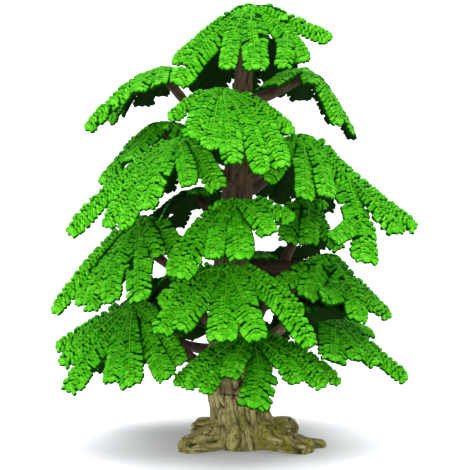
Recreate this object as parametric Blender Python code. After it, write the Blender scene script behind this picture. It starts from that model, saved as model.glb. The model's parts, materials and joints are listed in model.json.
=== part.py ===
"""Model ginkgo tree, moulded in plastic, standing on its own flat-bottomed foot of roots.

Metres, +Z up, the front of the tree towards -Y. The origin is on the flat underside, under the trunk.
A bearing is an angle in degrees round +Z: 0 points right, 90 to the back, 180 left and 270 to the front.
"""

import math
from collections import namedtuple

import bmesh
import bpy
from mathutils import Vector

SEAT_GAP = 0.0003

# Trunk: (x, y, z, radius) where its line or its taper changes, from the underside to the tip
TRUNK = (
    (0.0010, 0.0, -0.004, 0.0205),
    (0.0010, 0.0, 0.015, 0.0168),
    (-0.0022, 0.0, 0.034, 0.0157),
    (-0.0045, 0.0, 0.062, 0.0132),
    (-0.0055, 0.0, 0.086, 0.0115),
    (-0.0030, 0.0, 0.124, 0.0095),
    (0.0000, 0.0, 0.176, 0.0073),
    (0.0020, -0.0010, 0.214, 0.0052),
    (0.0050, -0.0068, 0.2500, 0.0032),
)
TRUNK_SIDES = 12
TRUNK_RINGS = 12
FLUTES = 4
FLUTE_DEPTH = 0.07
FLUTE_TOP = 0.124

# Roots: bearing, reach from the trunk's line, and radius and height of the line at the trunk and the blunt end
Root = namedtuple("Root", "bearing reach collar_radius collar_height end_radius end_height")
ROOTS = (
    Root(216, 0.042, 0.0095, 0.0090, 0.0062, 0.0018),
    Root(326, 0.047, 0.0095, 0.0095, 0.0064, 0.0018),
    Root(350, 0.049, 0.0060, 0.0040, 0.0032, 0.0006),
    Root(44, 0.042, 0.0080, 0.0070, 0.0062, 0.0048),
    Root(96, 0.042, 0.0090, 0.0080, 0.0060, 0.0020),
    Root(142, 0.034, 0.0080, 0.0070, 0.0066, 0.0050),
)
ROOT_SIDES = 8
ROOT_RINGS = 4
ROOT_START = 0.006
ROOT_DROOP = 1.4
ROOT_ROUNDING = 0.78
ROOT_ROUND_START = 0.55
GROUND_BLOCK = (0.3, 0.3, 0.05)

# Fronds: the knuckle's top, the height where the bough leaves the trunk's line, how far its fingers arch
# (0 straight to 1 rounded), the bearing that its face leans to, the fingers, and how far the face leans
Frond = namedtuple("Frond", "name knuckle bough_foot arch face fingers lean", defaults=(0.9,))
# A finger's bearing, how far its tip reaches out from its start and drops below it, its half width, and how
# far its shoulder lies to the left and up. It starts at the knuckle, or forks from another finger at a share.
Finger = namedtuple("Finger", "bearing reach drop half_width sway lift parent fork", defaults=(0, 0, None, 0))

# In a fan the outer fingers hang less and are narrower than the middle ones, and all vary a little in length
FAN_VARIATION = 0.07
FAN_VARIATION_STEP = 2.4
FAN_OUTER_RISE = 0.22
FAN_OUTER_NARROWING = 0.16


def fan(middle, spread, count, reach, drop, half_width):
    """Fingers spaced evenly from the bearing middle - spread to middle + spread."""
    made = []
    for number in range(count):
        across = 2 * number / (count - 1) - 1
        longer = FAN_VARIATION * math.cos(FAN_VARIATION_STEP * number + middle)
        made.append(
            Finger(
                middle + spread * across,
                reach * (1 + longer),
                drop * (1 - FAN_OUTER_RISE * across * across - longer),
                half_width * (1 - FAN_OUTER_NARROWING * abs(across)),
            )
        )
    return tuple(made)


def fingers(*rows):
    return tuple(Finger(*row) for row in rows)


TOP_TIER = (
    Frond("frond_top_front", (0.005, -0.008, 0.2555), None, 0.6, 268, fingers(
        (188, 0.044, 0.033, 0.0042, 0.0, -0.008), (222, 0.054, 0.044, 0.0066, -0.008, -0.011),
        (254, 0.044, 0.035, 0.0046, -0.005, -0.011), (275, 0.046, 0.035, 0.0064, 0.001, -0.011),
        (312, 0.046, 0.031, 0.0052, 0.007, -0.006), (348, 0.048, 0.019, 0.0050, 0.0, -0.006),
        (262, 0.024, 0.0175, 0.0046, 0.003, 0.0, 4, 0.62), (337, 0.024, 0.008, 0.0054))),
    Frond("frond_top_back", (0.004, 0.014, 0.246), 0.220, 0.6, 92, fingers(
        (36, 0.032, 0.030, 0.0060), (62, 0.044, 0.046, 0.0070), (90, 0.047, 0.048, 0.0072),
        (118, 0.044, 0.045, 0.0070), (144, 0.040, 0.042, 0.0062), (168, 0.032, 0.031, 0.0056))),
)
UPPER_TIER = (
    Frond("frond_upper_left", (-0.045, 0.008, 0.2195), 0.170, 0.55, 235, fingers(
        (180, 0.0445, 0.0365, 0.0058, 0.0, -0.004), (214, 0.034, 0.021, 0.0060), (244, 0.032, 0.013, 0.0056),
        (268, 0.029, 0.009, 0.0050), (150, 0.037, 0.032, 0.0066), (131, 0.036, 0.028, 0.0066),
        (112, 0.035, 0.024, 0.0066), (96, 0.032, 0.018, 0.0056))),
    Frond("frond_upper_right", (0.038, 0.012, 0.2185), 0.200, 0.6, 15, fingers(
        (352, 0.028, 0.038, 0.0066, 0.0, -0.002), (22, 0.031, 0.042, 0.0066, 0.0, -0.004),
        (320, 0.025, 0.032, 0.0060), (56, 0.036, 0.034, 0.0072), (94, 0.036, 0.020, 0.0066),
        (225, 0.030, 0.009, 0.0062), (279, 0.020, 0.008, 0.0046), (161, 0.030, 0.014, 0.0058)), 0.0),
    Frond("frond_upper_back", (-0.006, 0.044, 0.194), 0.166, 0.7, 92,
          fan(95, 50, 5, 0.046, 0.040, 0.0074)),
)
SECOND_TIER = (
    Frond("frond_second_front", (-0.011, -0.038, 0.209), 0.182, 0.9, 275, fingers(
        (206, 0.032, 0.016, 0.0040, 0.0, -0.004), (247, 0.040, 0.025, 0.0064, 0.001, -0.006),
        (263, 0.045, 0.031, 0.0052, 0.0, -0.012), (278, 0.050, 0.038, 0.0058, 0.002, -0.014),
        (296, 0.053, 0.044, 0.0052, 0.004, -0.012), (312, 0.051, 0.041, 0.0062, 0.010, -0.011),
        (344, 0.043, 0.024, 0.0042, 0.0, -0.005))),
    Frond("frond_second_left_back", (-0.045, 0.016, 0.187), 0.152, 0.8, 220, fingers(
        (199, 0.038, 0.035, 0.0068, 0.0, -0.012), (232, 0.032, 0.021, 0.0066, -0.001, -0.010),
        (160, 0.036, 0.039, 0.0070), (125, 0.042, 0.045, 0.0066), (88, 0.040, 0.045, 0.0060),
        (50, 0.030, 0.034, 0.0056), (318, 0.028, 0.014, 0.0060))),
    Frond("frond_second_left", (-0.034, -0.030, 0.181), 0.150, 0.45, 236, fingers(
        (166, 0.052, 0.043, 0.0046), (186, 0.063, 0.054, 0.0070, 0.0, -0.002), (212, 0.048, 0.048, 0.0062),
        (232, 0.050, 0.048, 0.0050), (250, 0.051, 0.036, 0.0060), (278, 0.046, 0.023, 0.0050),
        (305, 0.039, 0.026, 0.0058))),
    Frond("frond_second_right", (0.035, -0.015, 0.182), 0.154, 0.1, 300, fingers(
        (359, 0.066, 0.0535, 0.0070, 0.0, -0.008), (287, 0.045, 0.032, 0.0052, 0.006, 0.0),
        (271, 0.045, 0.033, 0.0054, 0.002, 0.0), (232, 0.032, 0.025, 0.0042),
        (320, 0.032, 0.028, 0.0060, 0.0, 0.0, 0, 0.45), (283, 0.042, 0.046, 0.0072, 0.006, -0.007, 0, 0.38),
        (239, 0.033, 0.008, 0.0044, -0.001, -0.002, 5, 0.48))),
    Frond("frond_second_right_back", (0.034, 0.036, 0.173), 0.146, 0.5, 68,
          fan(74, 50, 6, 0.044, 0.042, 0.0076)),
)
THIRD_TIER = (
    Frond("frond_third_front", (-0.004, -0.045, 0.147), 0.118, 0.8, 262, fingers(
        (209, 0.040, 0.040, 0.0046, -0.010, -0.010), (230, 0.045, 0.040, 0.0062, -0.005, -0.014),
        (256, 0.044, 0.028, 0.0050, -0.003, -0.011), (275, 0.047, 0.028, 0.0068, 0.002, -0.010),
        (298, 0.044, 0.015, 0.0054), (336, 0.037, 0.010, 0.0048))),
    Frond("frond_third_right", (0.040, 0.012, 0.142), 0.052, 0.6, 295, fingers(
        (268, 0.036, 0.022, 0.0060), (312, 0.027, 0.0265, 0.0044, -0.003, -0.013), (244, 0.029, 0.022, 0.0062),
        (222, 0.022, 0.014, 0.0050), (120, 0.022, 0.024, 0.0056), (74, 0.026, 0.032, 0.0056))),
    Frond("frond_third_left", (-0.056, -0.010, 0.134), 0.112, 0.75, 236, fingers(
        (184, 0.052, 0.055, 0.0058, 0.0, -0.013), (205, 0.040, 0.049, 0.0052, -0.012, -0.016),
        (228, 0.043, 0.050, 0.0060, -0.010, -0.018), (249, 0.045, 0.044, 0.0056, -0.011, -0.018),
        (270, 0.052, 0.042, 0.0068, -0.002, -0.016), (290, 0.028, 0.020, 0.0050),
        (320, 0.031, 0.024, 0.0054))),
    Frond("frond_third_left_back", (-0.056, 0.036, 0.114), 0.090, 0.6, 150,
          fan(150, 42, 5, 0.040, 0.036, 0.0072)),
    Frond("frond_third_back", (-0.025, 0.042, 0.146), 0.118, 0.7, 120, fingers(
        (214, 0.029, 0.023, 0.0064, -0.010, -0.005), (170, 0.034, 0.030, 0.0060), (135, 0.020, 0.025, 0.0062),
        (98, 0.034, 0.016, 0.0062), (70, 0.044, 0.020, 0.0066), (44, 0.032, 0.022, 0.0056))),
)
FOURTH_TIER = (
    Frond("frond_fourth_right", (0.050, -0.012, 0.1125), 0.107, 0.2, 300, fingers(
        (0, 0.037, 0.0362, 0.0049, 0.0, -0.004), (328, 0.034, 0.030, 0.0046, 0.010, -0.008),
        (292, 0.043, 0.033, 0.0060, 0.008, 0.0), (253, 0.042, 0.020, 0.0060, -0.004, -0.001),
        (242, 0.035, 0.005, 0.0056, 0.003, -0.007, 2, 0.42),
        (210, 0.025, 0.009, 0.0054, -0.006, 0.0, 3, 0.30))),
    Frond("frond_fourth_right_back", (0.042, 0.040, 0.098), 0.074, 0.5, 58,
          fan(58, 46, 5, 0.037, 0.033, 0.0074)),
    Frond("frond_fourth_front", (-0.007, -0.048, 0.111), 0.078, 0.6, 268, fingers(
        (192, 0.039, 0.021, 0.0048), (221, 0.049, 0.034, 0.0062, -0.010, -0.009),
        (237, 0.048, 0.031, 0.0056, -0.004, -0.012), (266, 0.050, 0.036, 0.0074, 0.001, -0.012),
        (290, 0.049, 0.036, 0.0064, -0.001, -0.008), (331, 0.053, 0.042, 0.0058, 0.005, -0.001),
        (349, 0.043, 0.027, 0.0045))),
    Frond("frond_fourth_left_back", (-0.040, 0.044, 0.094), 0.062, 0.5, 134,
          fan(132, 46, 5, 0.043, 0.040, 0.0074)),
    Frond("frond_fourth_back", (0.012, 0.050, 0.1065), 0.082, 0.8, 84, fingers(
        (10, 0.038, -0.004, 0.0062, 0.0, -0.005), (40, 0.044, 0.030, 0.0066), (64, 0.047, 0.035, 0.0072),
        (88, 0.048, 0.036, 0.0074), (111, 0.047, 0.034, 0.0072), (132, 0.044, 0.030, 0.0064))),
)
LOW_TIER = (
    Frond("frond_low_left", (-0.061, -0.012, 0.0855), 0.034, 0.25, 240, fingers(
        (174, 0.046, 0.0275, 0.0054, 0.0, -0.004), (197, 0.044, 0.035, 0.0058, 0.0, -0.004),
        (221, 0.048, 0.0475, 0.0068, -0.005, -0.006), (257, 0.048, 0.0395, 0.0056, -0.003, -0.008),
        (270, 0.054, 0.0405, 0.0068, -0.002, -0.007), (293, 0.053, 0.0370, 0.0060, 0.001, -0.008),
        (309, 0.045, 0.0310, 0.0052))),
    Frond("frond_low_front", (0.006, -0.035, 0.068), 0.040, 0.7, 280, fingers(
        (198, 0.045, 0.025, 0.0044, 0.0, -0.003), (217, 0.045, 0.025, 0.0044), (233, 0.044, 0.026, 0.0048),
        (254, 0.045, 0.016, 0.0056), (270, 0.049, 0.032, 0.0082, 0.009, -0.013),
        (311, 0.041, 0.021, 0.0054), (336, 0.046, 0.025, 0.0060), (358, 0.051, 0.026, 0.0045))),
    Frond("frond_low_right", (0.055, -0.012, 0.074), 0.042, 0.35, 300, fingers(
        (0, 0.042, 0.034, 0.0054, 0.0, -0.006), (314, 0.033, 0.022, 0.0055), (287, 0.040, 0.017, 0.0052),
        (266, 0.048, 0.016, 0.0074), (42, 0.030, 0.009, 0.0062))),
    Frond("frond_low_right_back", (0.036, 0.044, 0.076), 0.050, 0.5, 60,
          fan(62, 46, 5, 0.042, 0.030, 0.0078)),
    Frond("frond_low_back", (-0.002, 0.052, 0.064), 0.040, 0.7, 94,
          fingers((44, 0.044, 0.026, 0.0062), (64, 0.046, 0.027, 0.0070), (84, 0.046, 0.026, 0.0072),
                  (104, 0.046, 0.020, 0.0070), (124, 0.044, 0.010, 0.0064), (146, 0.038, 0.006, 0.0056))),
    Frond("frond_low_left_back", (-0.044, 0.036, 0.060), 0.056, 0.7, 142, fingers(
        (40, 0.028, 0.004, 0.0068, 0.0, 0.002), (84, 0.044, 0.024, 0.0070), (114, 0.047, 0.027, 0.0072),
        (142, 0.046, 0.026, 0.0074), (170, 0.045, 0.025, 0.0072), (198, 0.042, 0.021, 0.0064))),
)
FRONDS = TOP_TIER + UPPER_TIER + SECOND_TIER + THIRD_TIER + FOURTH_TIER + LOW_TIER

# Finger: its line, in shares of its reach, and its blade, in shares of its length and in metres
SHOULDER = 0.50
SHOULDER_LIFT = 0.07
FINGER_START = 0.07
FINGER_STATIONS = 6
LINE_STEP = 0.01
FULLNESS = 1.15
WAIST = 0.12
WAIST_PLACE = 0.30
WAIST_SPREAD = 0.16
TIP_START = 0.84
TIP_LENGTH = 0.17
SCALLOP = 0.09
RIDGE_HEIGHT = 0.0016
BLADE_THICKNESS = 0.0020
LEAN_FULL = 85
LEAN_NONE = 125

# Knuckle, stem and bough
KNUCKLE_SEGMENTS = 8
KNUCKLE_RINGS = 4
KNUCKLE_RADIUS = 0.0088
KNUCKLE_HALF_HEIGHT = 0.0028
KNUCKLE_SINK = 0.0026
KNUCKLE_LEAN = 0.45
STEM_LENGTH = 0.0075
STEM_RADIUS = 0.0023
BOUGH_FOOT_RADIUS = 0.0042
BOUGH_SIDES = 6
BOUGH_STATIONS = 4
BOUGH_SAG = 0.10
BOUGH_TAPER = 0.7

CRUMB_SHARE = 0.08
SMOOTH_ANGLE = math.radians(50)
NEARLY_UPRIGHT = 0.95


def clear_scene():
    for obj in list(bpy.data.objects):
        bpy.data.objects.remove(obj, do_unlink=True)


def material(name, colour, roughness):
    made = bpy.data.materials.new(name)
    made.use_nodes = True
    shader = made.node_tree.nodes["Principled BSDF"]
    shader.inputs["Base Color"].default_value = (*colour, 1.0)
    shader.inputs["Roughness"].default_value = roughness
    shader.inputs["Metallic"].default_value = 0.0
    made.diffuse_color = (*colour, 1.0)
    return made


def heading(bearing):
    angle = math.radians(bearing)
    return Vector((math.cos(angle), math.sin(angle), 0))


def smooth_line(points, count):
    """Points read evenly from a Catmull-Rom curve through the given tuples of any length."""
    ends = [points[0], *points, points[-1]]
    spans = len(points) - 1
    read = []
    for number in range(count):
        place = number / (count - 1) * spans
        span = min(int(place), spans - 1)
        t = place - span
        row = []
        for p, q, r, s in zip(*ends[span:span + 4]):
            bend = (2 * p - 5 * q + 4 * r - s) * t * t + (3 * q - p - 3 * r + s) * t ** 3
            row.append(0.5 * (2 * q + (r - p) * t + bend))
        read.append(row)
    return read


def add_object(name, mesh, look, collection=None):
    obj = bpy.data.objects.new(name, mesh)
    (collection or bpy.context.scene.collection).objects.link(obj)
    mesh.materials.append(look)
    mesh.shade_smooth()
    mesh.set_sharp_from_angle(angle=SMOOTH_ANGLE)
    return obj


def loft(name, rings):
    """A closed mesh through rings of equal counts, capped at both ends."""
    bm = bmesh.new()
    made = [[bm.verts.new(point) for point in ring] for ring in rings]
    for low, high in zip(made, made[1:]):
        for k in range(len(low)):
            n = (k + 1) % len(low)
            bm.faces.new((low[k], low[n], high[n], high[k]))
    bm.faces.new(list(reversed(made[0])))
    bm.faces.new(made[-1])
    bmesh.ops.recalc_face_normals(bm, faces=bm.faces[:])
    mesh = bpy.data.meshes.new(name)
    bm.to_mesh(mesh)
    bm.free()
    return mesh


def round_rings(line, radii, sides):
    """Rings round a line, each at right angles to it."""
    rings = []
    for number, (point, radius) in enumerate(zip(line, radii)):
        before = line[max(number - 1, 0)]
        after = line[min(number + 1, len(line) - 1)]
        along = (after - before).normalized()
        side = along.orthogonal() if abs(along.z) > NEARLY_UPRIGHT else along.cross(Vector((0, 0, 1)))
        side.normalize()
        over = side.cross(along).normalized()
        rings.append([
            point
            + side * radius * math.cos(2 * math.pi * k / sides)
            + over * radius * math.sin(2 * math.pi * k / sides)
            for k in range(sides)
        ])
    return rings


def trunk_rings(extra=0.0):
    """The trunk's rings. extra widens them, for the seat that the boughs are cut to."""
    rings = []
    for x, y, z, radius in smooth_line(TRUNK, TRUNK_RINGS):
        flute = FLUTE_DEPTH * max(0.0, 1 - z / FLUTE_TOP)
        ring = []
        for k in range(TRUNK_SIDES):
            angle = 2 * math.pi * k / TRUNK_SIDES
            out = radius * (1 + flute * math.cos(FLUTES * angle)) + extra
            ring.append(Vector((x + out * math.cos(angle), y + out * math.sin(angle), z)))
        rings.append(ring)
    return rings


def trunk_line(height):
    """The point on the trunk's line at a height."""
    for low, high in zip(TRUNK, TRUNK[1:]):
        if height <= high[2]:
            share = (height - low[2]) / (high[2] - low[2])
            return Vector(low[:3]).lerp(Vector(high[:3]), share)
    return Vector(TRUNK[-1][:3])


def root_line(root):
    """Points and radii of a root from inside the trunk to its blunt end."""
    foot = Vector(TRUNK[0][:3]).xy.to_3d()
    points, radii = [], []
    for number in range(ROOT_RINGS):
        t = number / (ROOT_RINGS - 1)
        out = ROOT_START + (root.reach - ROOT_START) * t
        height = root.end_height + (root.collar_height - root.end_height) * (1 - t) ** ROOT_DROOP
        points.append(foot + heading(root.bearing) * out + Vector((0, 0, height)))
        radii.append(root.collar_radius + (root.end_radius - root.collar_radius) * t)
    points.insert(-1, points[-1] - heading(root.bearing) * root.end_radius * ROOT_ROUND_START)
    radii.insert(-1, radii[-1])
    radii[-1] *= ROOT_ROUNDING
    return points, radii


def ground_cutter(collection):
    bm = bmesh.new()
    bmesh.ops.create_cube(bm, size=1.0)
    bmesh.ops.scale(bm, verts=bm.verts[:], vec=GROUND_BLOCK)
    bmesh.ops.translate(bm, verts=bm.verts[:], vec=(0, 0, -GROUND_BLOCK[2] / 2))
    mesh = bpy.data.meshes.new("ground_cutter")
    bm.to_mesh(mesh)
    bm.free()
    cutter = bpy.data.objects.new("ground_cutter", mesh)
    collection.objects.link(cutter)
    return cutter


def keep_largest_shell(mesh):
    """Removes the crumbs that a union can leave where two blades run almost face to face."""
    bm = bmesh.new()
    bm.from_mesh(mesh)
    left = set(bm.verts)
    shells = []
    while left:
        shell = set()
        reached = [left.pop()]
        while reached:
            vert = reached.pop()
            shell.add(vert)
            linked = {edge.other_vert(vert) for edge in vert.link_edges} & left
            left -= linked
            reached.extend(linked)
        shells.append(shell)
    shells.sort(key=len)
    crumbs = [vert for shell in shells[:-1] for vert in shell]
    if len(crumbs) > CRUMB_SHARE * len(shells[-1]):
        raise ValueError(f"{mesh.name} does not hold together")
    bmesh.ops.delete(bm, geom=crumbs, context="VERTS")
    bm.to_mesh(mesh)
    bm.free()


def apply_booleans(obj):
    graph = bpy.context.evaluated_depsgraph_get()
    mesh = bpy.data.meshes.new_from_object(obj.evaluated_get(graph))
    keep_largest_shell(mesh)
    obj.modifiers.clear()
    obj.data = mesh
    mesh.name = obj.name
    mesh.shade_smooth()
    mesh.set_sharp_from_angle(angle=SMOOTH_ANGLE)


def fuse(base, parts):
    """One union of the collection onto the base, applied, with the collection's objects then removed."""
    union = base.modifiers.new("union", "BOOLEAN")
    union.operation = "UNION"
    union.solver = "EXACT"
    union.operand_type = "COLLECTION"
    union.collection = parts
    bpy.context.view_layer.update()
    apply_booleans(base)
    for obj in list(parts.objects):
        bpy.data.objects.remove(obj, do_unlink=True)
    bpy.data.collections.remove(parts)


def parts_collection(name):
    made = bpy.data.collections.new(name)
    bpy.context.scene.collection.children.link(made)
    return made


def make_trunk(look):
    trunk = add_object("trunk", loft("trunk", trunk_rings()), look)
    roots = parts_collection("roots")
    for number, root in enumerate(ROOTS):
        line, radii = root_line(root)
        add_object(f"root_{number}", loft("root", round_rings(line, radii, ROOT_SIDES)), look, roots)
    fuse(trunk, roots)
    helpers = parts_collection("ground")
    level = trunk.modifiers.new("level", "BOOLEAN")
    level.operation = "DIFFERENCE"
    level.solver = "EXACT"
    level.object = ground_cutter(helpers)
    bpy.context.view_layer.update()
    apply_booleans(trunk)
    for obj in list(helpers.objects):
        bpy.data.objects.remove(obj, do_unlink=True)
    bpy.data.collections.remove(helpers)
    return trunk


def finger_face(frond, finger):
    """The way that a finger's upper face looks: up, and towards the frond's face unless it lies behind."""
    apart = abs((finger.bearing - frond.face + 180) % 360 - 180)
    share = min(1.0, max(0.0, (LEAN_NONE - apart) / (LEAN_NONE - LEAN_FULL)))
    return (Vector((0, 0, 1)) + heading(frond.face) * frond.lean * share).normalized()


def finger_line(frond, finger, t):
    """A point on the finger's line: out from its start, over a shoulder, then down to the tip."""
    start = Vector(frond.knuckle)
    if finger.parent is not None:
        start = finger_line(frond, frond.fingers[finger.parent], finger.fork)
    out = heading(finger.bearing)
    left = heading(finger.bearing + 90)
    rounded = finger.reach * SHOULDER_LIFT
    straight = -finger.drop * SHOULDER
    lift = frond.arch * rounded + (1 - frond.arch) * straight + finger.lift
    shoulder = start + out * finger.reach * SHOULDER + left * finger.sway + Vector((0, 0, lift))
    tip = start + out * finger.reach - Vector((0, 0, finger.drop))
    return start * (1 - t) ** 2 + shoulder * 2 * t * (1 - t) + tip * t * t


def finger_half_width(finger, t):
    """Wide at the knuckle, waisted where the fingers part, full towards the end and rounded off at the tip."""
    waist = 1 - WAIST * math.exp(-(((t - WAIST_PLACE) / WAIST_SPREAD) ** 2))
    tip = math.sqrt(1 - max(0.0, (t - TIP_START) / TIP_LENGTH) ** 2)
    return finger.half_width * FULLNESS * waist * tip


def finger_rings(frond, finger):
    """Four-cornered rings: two thin edges, a raised rib above and the underside below it."""
    face = finger_face(frond, finger)
    rings = []
    for number in range(FINGER_STATIONS):
        t = FINGER_START + (1 - FINGER_START) * number / (FINGER_STATIONS - 1)
        point = finger_line(frond, finger, t)
        before = finger_line(frond, finger, t - LINE_STEP)
        after = finger_line(frond, finger, t + LINE_STEP)
        along = (after - before).normalized()
        side = face.cross(along).normalized()
        over = along.cross(side)
        ripple = 1 + (SCALLOP if number % 2 else -SCALLOP)
        half = finger_half_width(finger, t) * ripple
        rise = RIDGE_HEIGHT * min(1.0, half / finger.half_width)
        rings.append([
            point - side * half,
            point + over * (rise - BLADE_THICKNESS),
            point + side * half,
            point + over * rise,
        ])
    return rings


def bough_line(frond):
    """The bough's line from inside the trunk, and the two ends of the frond's stem that carries it on."""
    foot = trunk_line(frond.bough_foot)
    top = Vector(frond.knuckle) - Vector((0, 0, KNUCKLE_SINK))
    middle = foot.lerp(top, 0.5) - Vector((0, 0, BOUGH_SAG * (top - foot).length))
    reach = 1 - STEM_LENGTH / (top - foot).length
    line = []
    for number in range(BOUGH_STATIONS):
        t = reach * number / (BOUGH_STATIONS - 1)
        line.append(foot * (1 - t) ** 2 + middle * 2 * t * (1 - t) + top * t * t)
    along = (line[-1] - line[-2]).normalized()
    stem = [line[-1] + along * SEAT_GAP, line[-1] + along * (STEM_LENGTH + SEAT_GAP)]
    return line, stem


def make_frond(frond, look):
    knuckle = Vector(frond.knuckle)
    bm = bmesh.new()
    bmesh.ops.create_uvsphere(bm, u_segments=KNUCKLE_SEGMENTS, v_segments=KNUCKLE_RINGS, radius=1.0)
    bmesh.ops.scale(bm, verts=bm.verts[:], vec=(KNUCKLE_RADIUS, KNUCKLE_RADIUS, KNUCKLE_HALF_HEIGHT))
    axis = Vector((0, 0, 1)) + heading(frond.face) * KNUCKLE_LEAN
    turn = Vector((0, 0, 1)).rotation_difference(axis).to_matrix()
    bmesh.ops.rotate(bm, verts=bm.verts[:], cent=(0, 0, 0), matrix=turn)
    bmesh.ops.translate(bm, verts=bm.verts[:], vec=knuckle - Vector((0, 0, KNUCKLE_HALF_HEIGHT / 2)))
    mesh = bpy.data.meshes.new(frond.name)
    bm.to_mesh(mesh)
    bm.free()
    base = add_object(frond.name, mesh, look)
    parts = parts_collection(frond.name + "_parts")
    for number, finger in enumerate(frond.fingers):
        add_object(f"finger_{number}", loft("finger", finger_rings(frond, finger)), look, parts)
    if frond.bough_foot is None:
        foot = Vector(TRUNK[-1][:3]) + Vector((0, 0, SEAT_GAP))
        stem = [foot, Vector((foot.x, foot.y, knuckle.z - KNUCKLE_SINK / 2))]
    else:
        _, stem = bough_line(frond)
    add_object("stem", loft("stem", round_rings(stem, [STEM_RADIUS] * 2, BOUGH_SIDES)), look, parts)
    fuse(base, parts)
    return base


def make_bough(frond, seat, look):
    """One tapering limb, from a seat cut to the trunk to a flat end just under the frond's stem."""
    line, _ = bough_line(frond)
    radii = [
        BOUGH_FOOT_RADIUS + (STEM_RADIUS - BOUGH_FOOT_RADIUS) * (n / (BOUGH_STATIONS - 1)) ** BOUGH_TAPER
        for n in range(BOUGH_STATIONS)
    ]
    name = frond.name.replace("frond", "bough")
    bough = add_object(name, loft(name, round_rings(line, radii, BOUGH_SIDES)), look)
    cut = bough.modifiers.new("seat", "BOOLEAN")
    cut.operation = "DIFFERENCE"
    cut.solver = "EXACT"
    cut.object = seat
    return bough


def make_seat(look):
    """The trunk a little wider than it is, which only cuts the feet of the boughs."""
    seat = add_object("bough_seat", loft("bough_seat", trunk_rings(SEAT_GAP)), look)
    seat.hide_render = True
    seat.display_type = "WIRE"
    return seat


def main():
    clear_scene()
    bark = material("root_and_trunk_bark", (0.30, 0.25, 0.13), 0.60)
    limb_bark = material("bough_bark", (0.11, 0.07, 0.04), 0.62)
    leaf_green = material("frond_green", (0.08, 0.48, 0.02), 0.45)
    make_trunk(bark)
    seat = make_seat(bark)
    for frond in FRONDS:
        make_frond(frond, leaf_green)
        if frond.bough_foot is not None:
            make_bough(frond, seat, limb_bark)


main()
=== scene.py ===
"""The finish of a moulded plastic model ginkgo tree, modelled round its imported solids.

Metres, +Z up, the front of the tree towards -Y, and the origin on its flat underside.
A bearing is an angle in degrees round +Z: 0 points right, 90 to the back, 180 left and 270 to the front.
"""

import json
import math
import random
from collections import namedtuple

import bmesh
import bpy
import numpy as np
from bpy.props import FloatProperty, FloatVectorProperty, IntProperty, PointerProperty
from mathutils import Matrix, Vector, noise

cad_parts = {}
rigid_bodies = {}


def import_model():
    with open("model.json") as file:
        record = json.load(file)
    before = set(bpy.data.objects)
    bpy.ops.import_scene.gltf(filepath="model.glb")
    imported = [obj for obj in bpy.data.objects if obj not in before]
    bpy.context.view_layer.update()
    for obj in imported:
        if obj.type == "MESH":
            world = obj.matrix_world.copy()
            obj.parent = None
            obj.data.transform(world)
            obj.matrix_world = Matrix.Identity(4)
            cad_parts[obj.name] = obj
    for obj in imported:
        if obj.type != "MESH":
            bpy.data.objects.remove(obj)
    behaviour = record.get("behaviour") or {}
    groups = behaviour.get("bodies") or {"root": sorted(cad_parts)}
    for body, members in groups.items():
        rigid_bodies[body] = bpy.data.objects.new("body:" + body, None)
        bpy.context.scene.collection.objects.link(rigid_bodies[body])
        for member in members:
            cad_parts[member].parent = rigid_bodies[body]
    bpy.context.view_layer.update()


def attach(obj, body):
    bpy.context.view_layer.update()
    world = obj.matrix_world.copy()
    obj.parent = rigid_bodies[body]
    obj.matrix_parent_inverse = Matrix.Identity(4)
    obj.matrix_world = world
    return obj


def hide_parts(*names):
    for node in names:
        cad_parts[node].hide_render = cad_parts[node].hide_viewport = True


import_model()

bl_info = {
    "name": "Model Ginkgo Tree",
    "version": (1, 0, 0),
    "blender": (4, 5, 0),
    "location": "View3D > Sidebar > Model Tree",
    "description": "Models the leaflets, ribs, boughs and bark of a moulded ginkgo tree and its studio stage",
    "category": "Add Mesh",
}

BODY = "root"
UP = Vector((0, 0, 1))

# Trunk: (x, y, z, radius) where its line or its taper changes, from the underside to the tip
TRUNK = (
    (0.0010, 0.0, -0.004, 0.0205),
    (0.0010, 0.0, 0.015, 0.0168),
    (-0.0022, 0.0, 0.034, 0.0157),
    (-0.0045, 0.0, 0.062, 0.0132),
    (-0.0055, 0.0, 0.086, 0.0115),
    (-0.0030, 0.0, 0.124, 0.0095),
    (0.0000, 0.0, 0.176, 0.0073),
    (0.0020, -0.0010, 0.214, 0.0052),
    (0.0050, -0.0068, 0.2500, 0.0032),
)
FLUTES = 4
FLUTE_DEPTH = 0.07
FLUTE_TOP = 0.124

# Roots: bearing, reach from the trunk's line, and the line's radius and height at the trunk and at its end
Root = namedtuple("Root", "bearing reach collar_radius collar_height end_radius end_height")
ROOTS = (
    Root(216, 0.042, 0.0095, 0.0090, 0.0062, 0.0018),
    Root(326, 0.047, 0.0095, 0.0095, 0.0064, 0.0018),
    Root(350, 0.049, 0.0060, 0.0040, 0.0032, 0.0006),
    Root(44, 0.042, 0.0080, 0.0070, 0.0062, 0.0048),
    Root(96, 0.042, 0.0090, 0.0080, 0.0060, 0.0020),
    Root(142, 0.034, 0.0080, 0.0070, 0.0066, 0.0050),
)
ROOT_START = 0.006
ROOT_DROOP = 1.4

# Fronds: the knuckle's top, the height where the bough leaves the trunk's line, how far its fingers arch
# (0 straight to 1 rounded), the bearing that its face leans to, the fingers, and how far the face leans
Frond = namedtuple("Frond", "name knuckle bough_foot arch face fingers lean")
# A finger's bearing, how far its tip reaches out from its start and drops below it, its half width, and how
# far its shoulder lies to the left and up. It starts at the knuckle, or forks from another finger at a share.
Finger = namedtuple("Finger", "bearing reach drop half_width sway lift parent fork", defaults=(0, 0, None, 0))

# In a fan the outer fingers hang less and are narrower than the middle ones, and all vary a little in length
FAN_VARIATION = 0.07
FAN_VARIATION_STEP = 2.4
FAN_OUTER_RISE = 0.22
FAN_OUTER_NARROWING = 0.16


def metres(values):
    """Millimetres as metres, to the nearest micrometre."""
    return [round(value / 1000, 6) for value in values]


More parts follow.
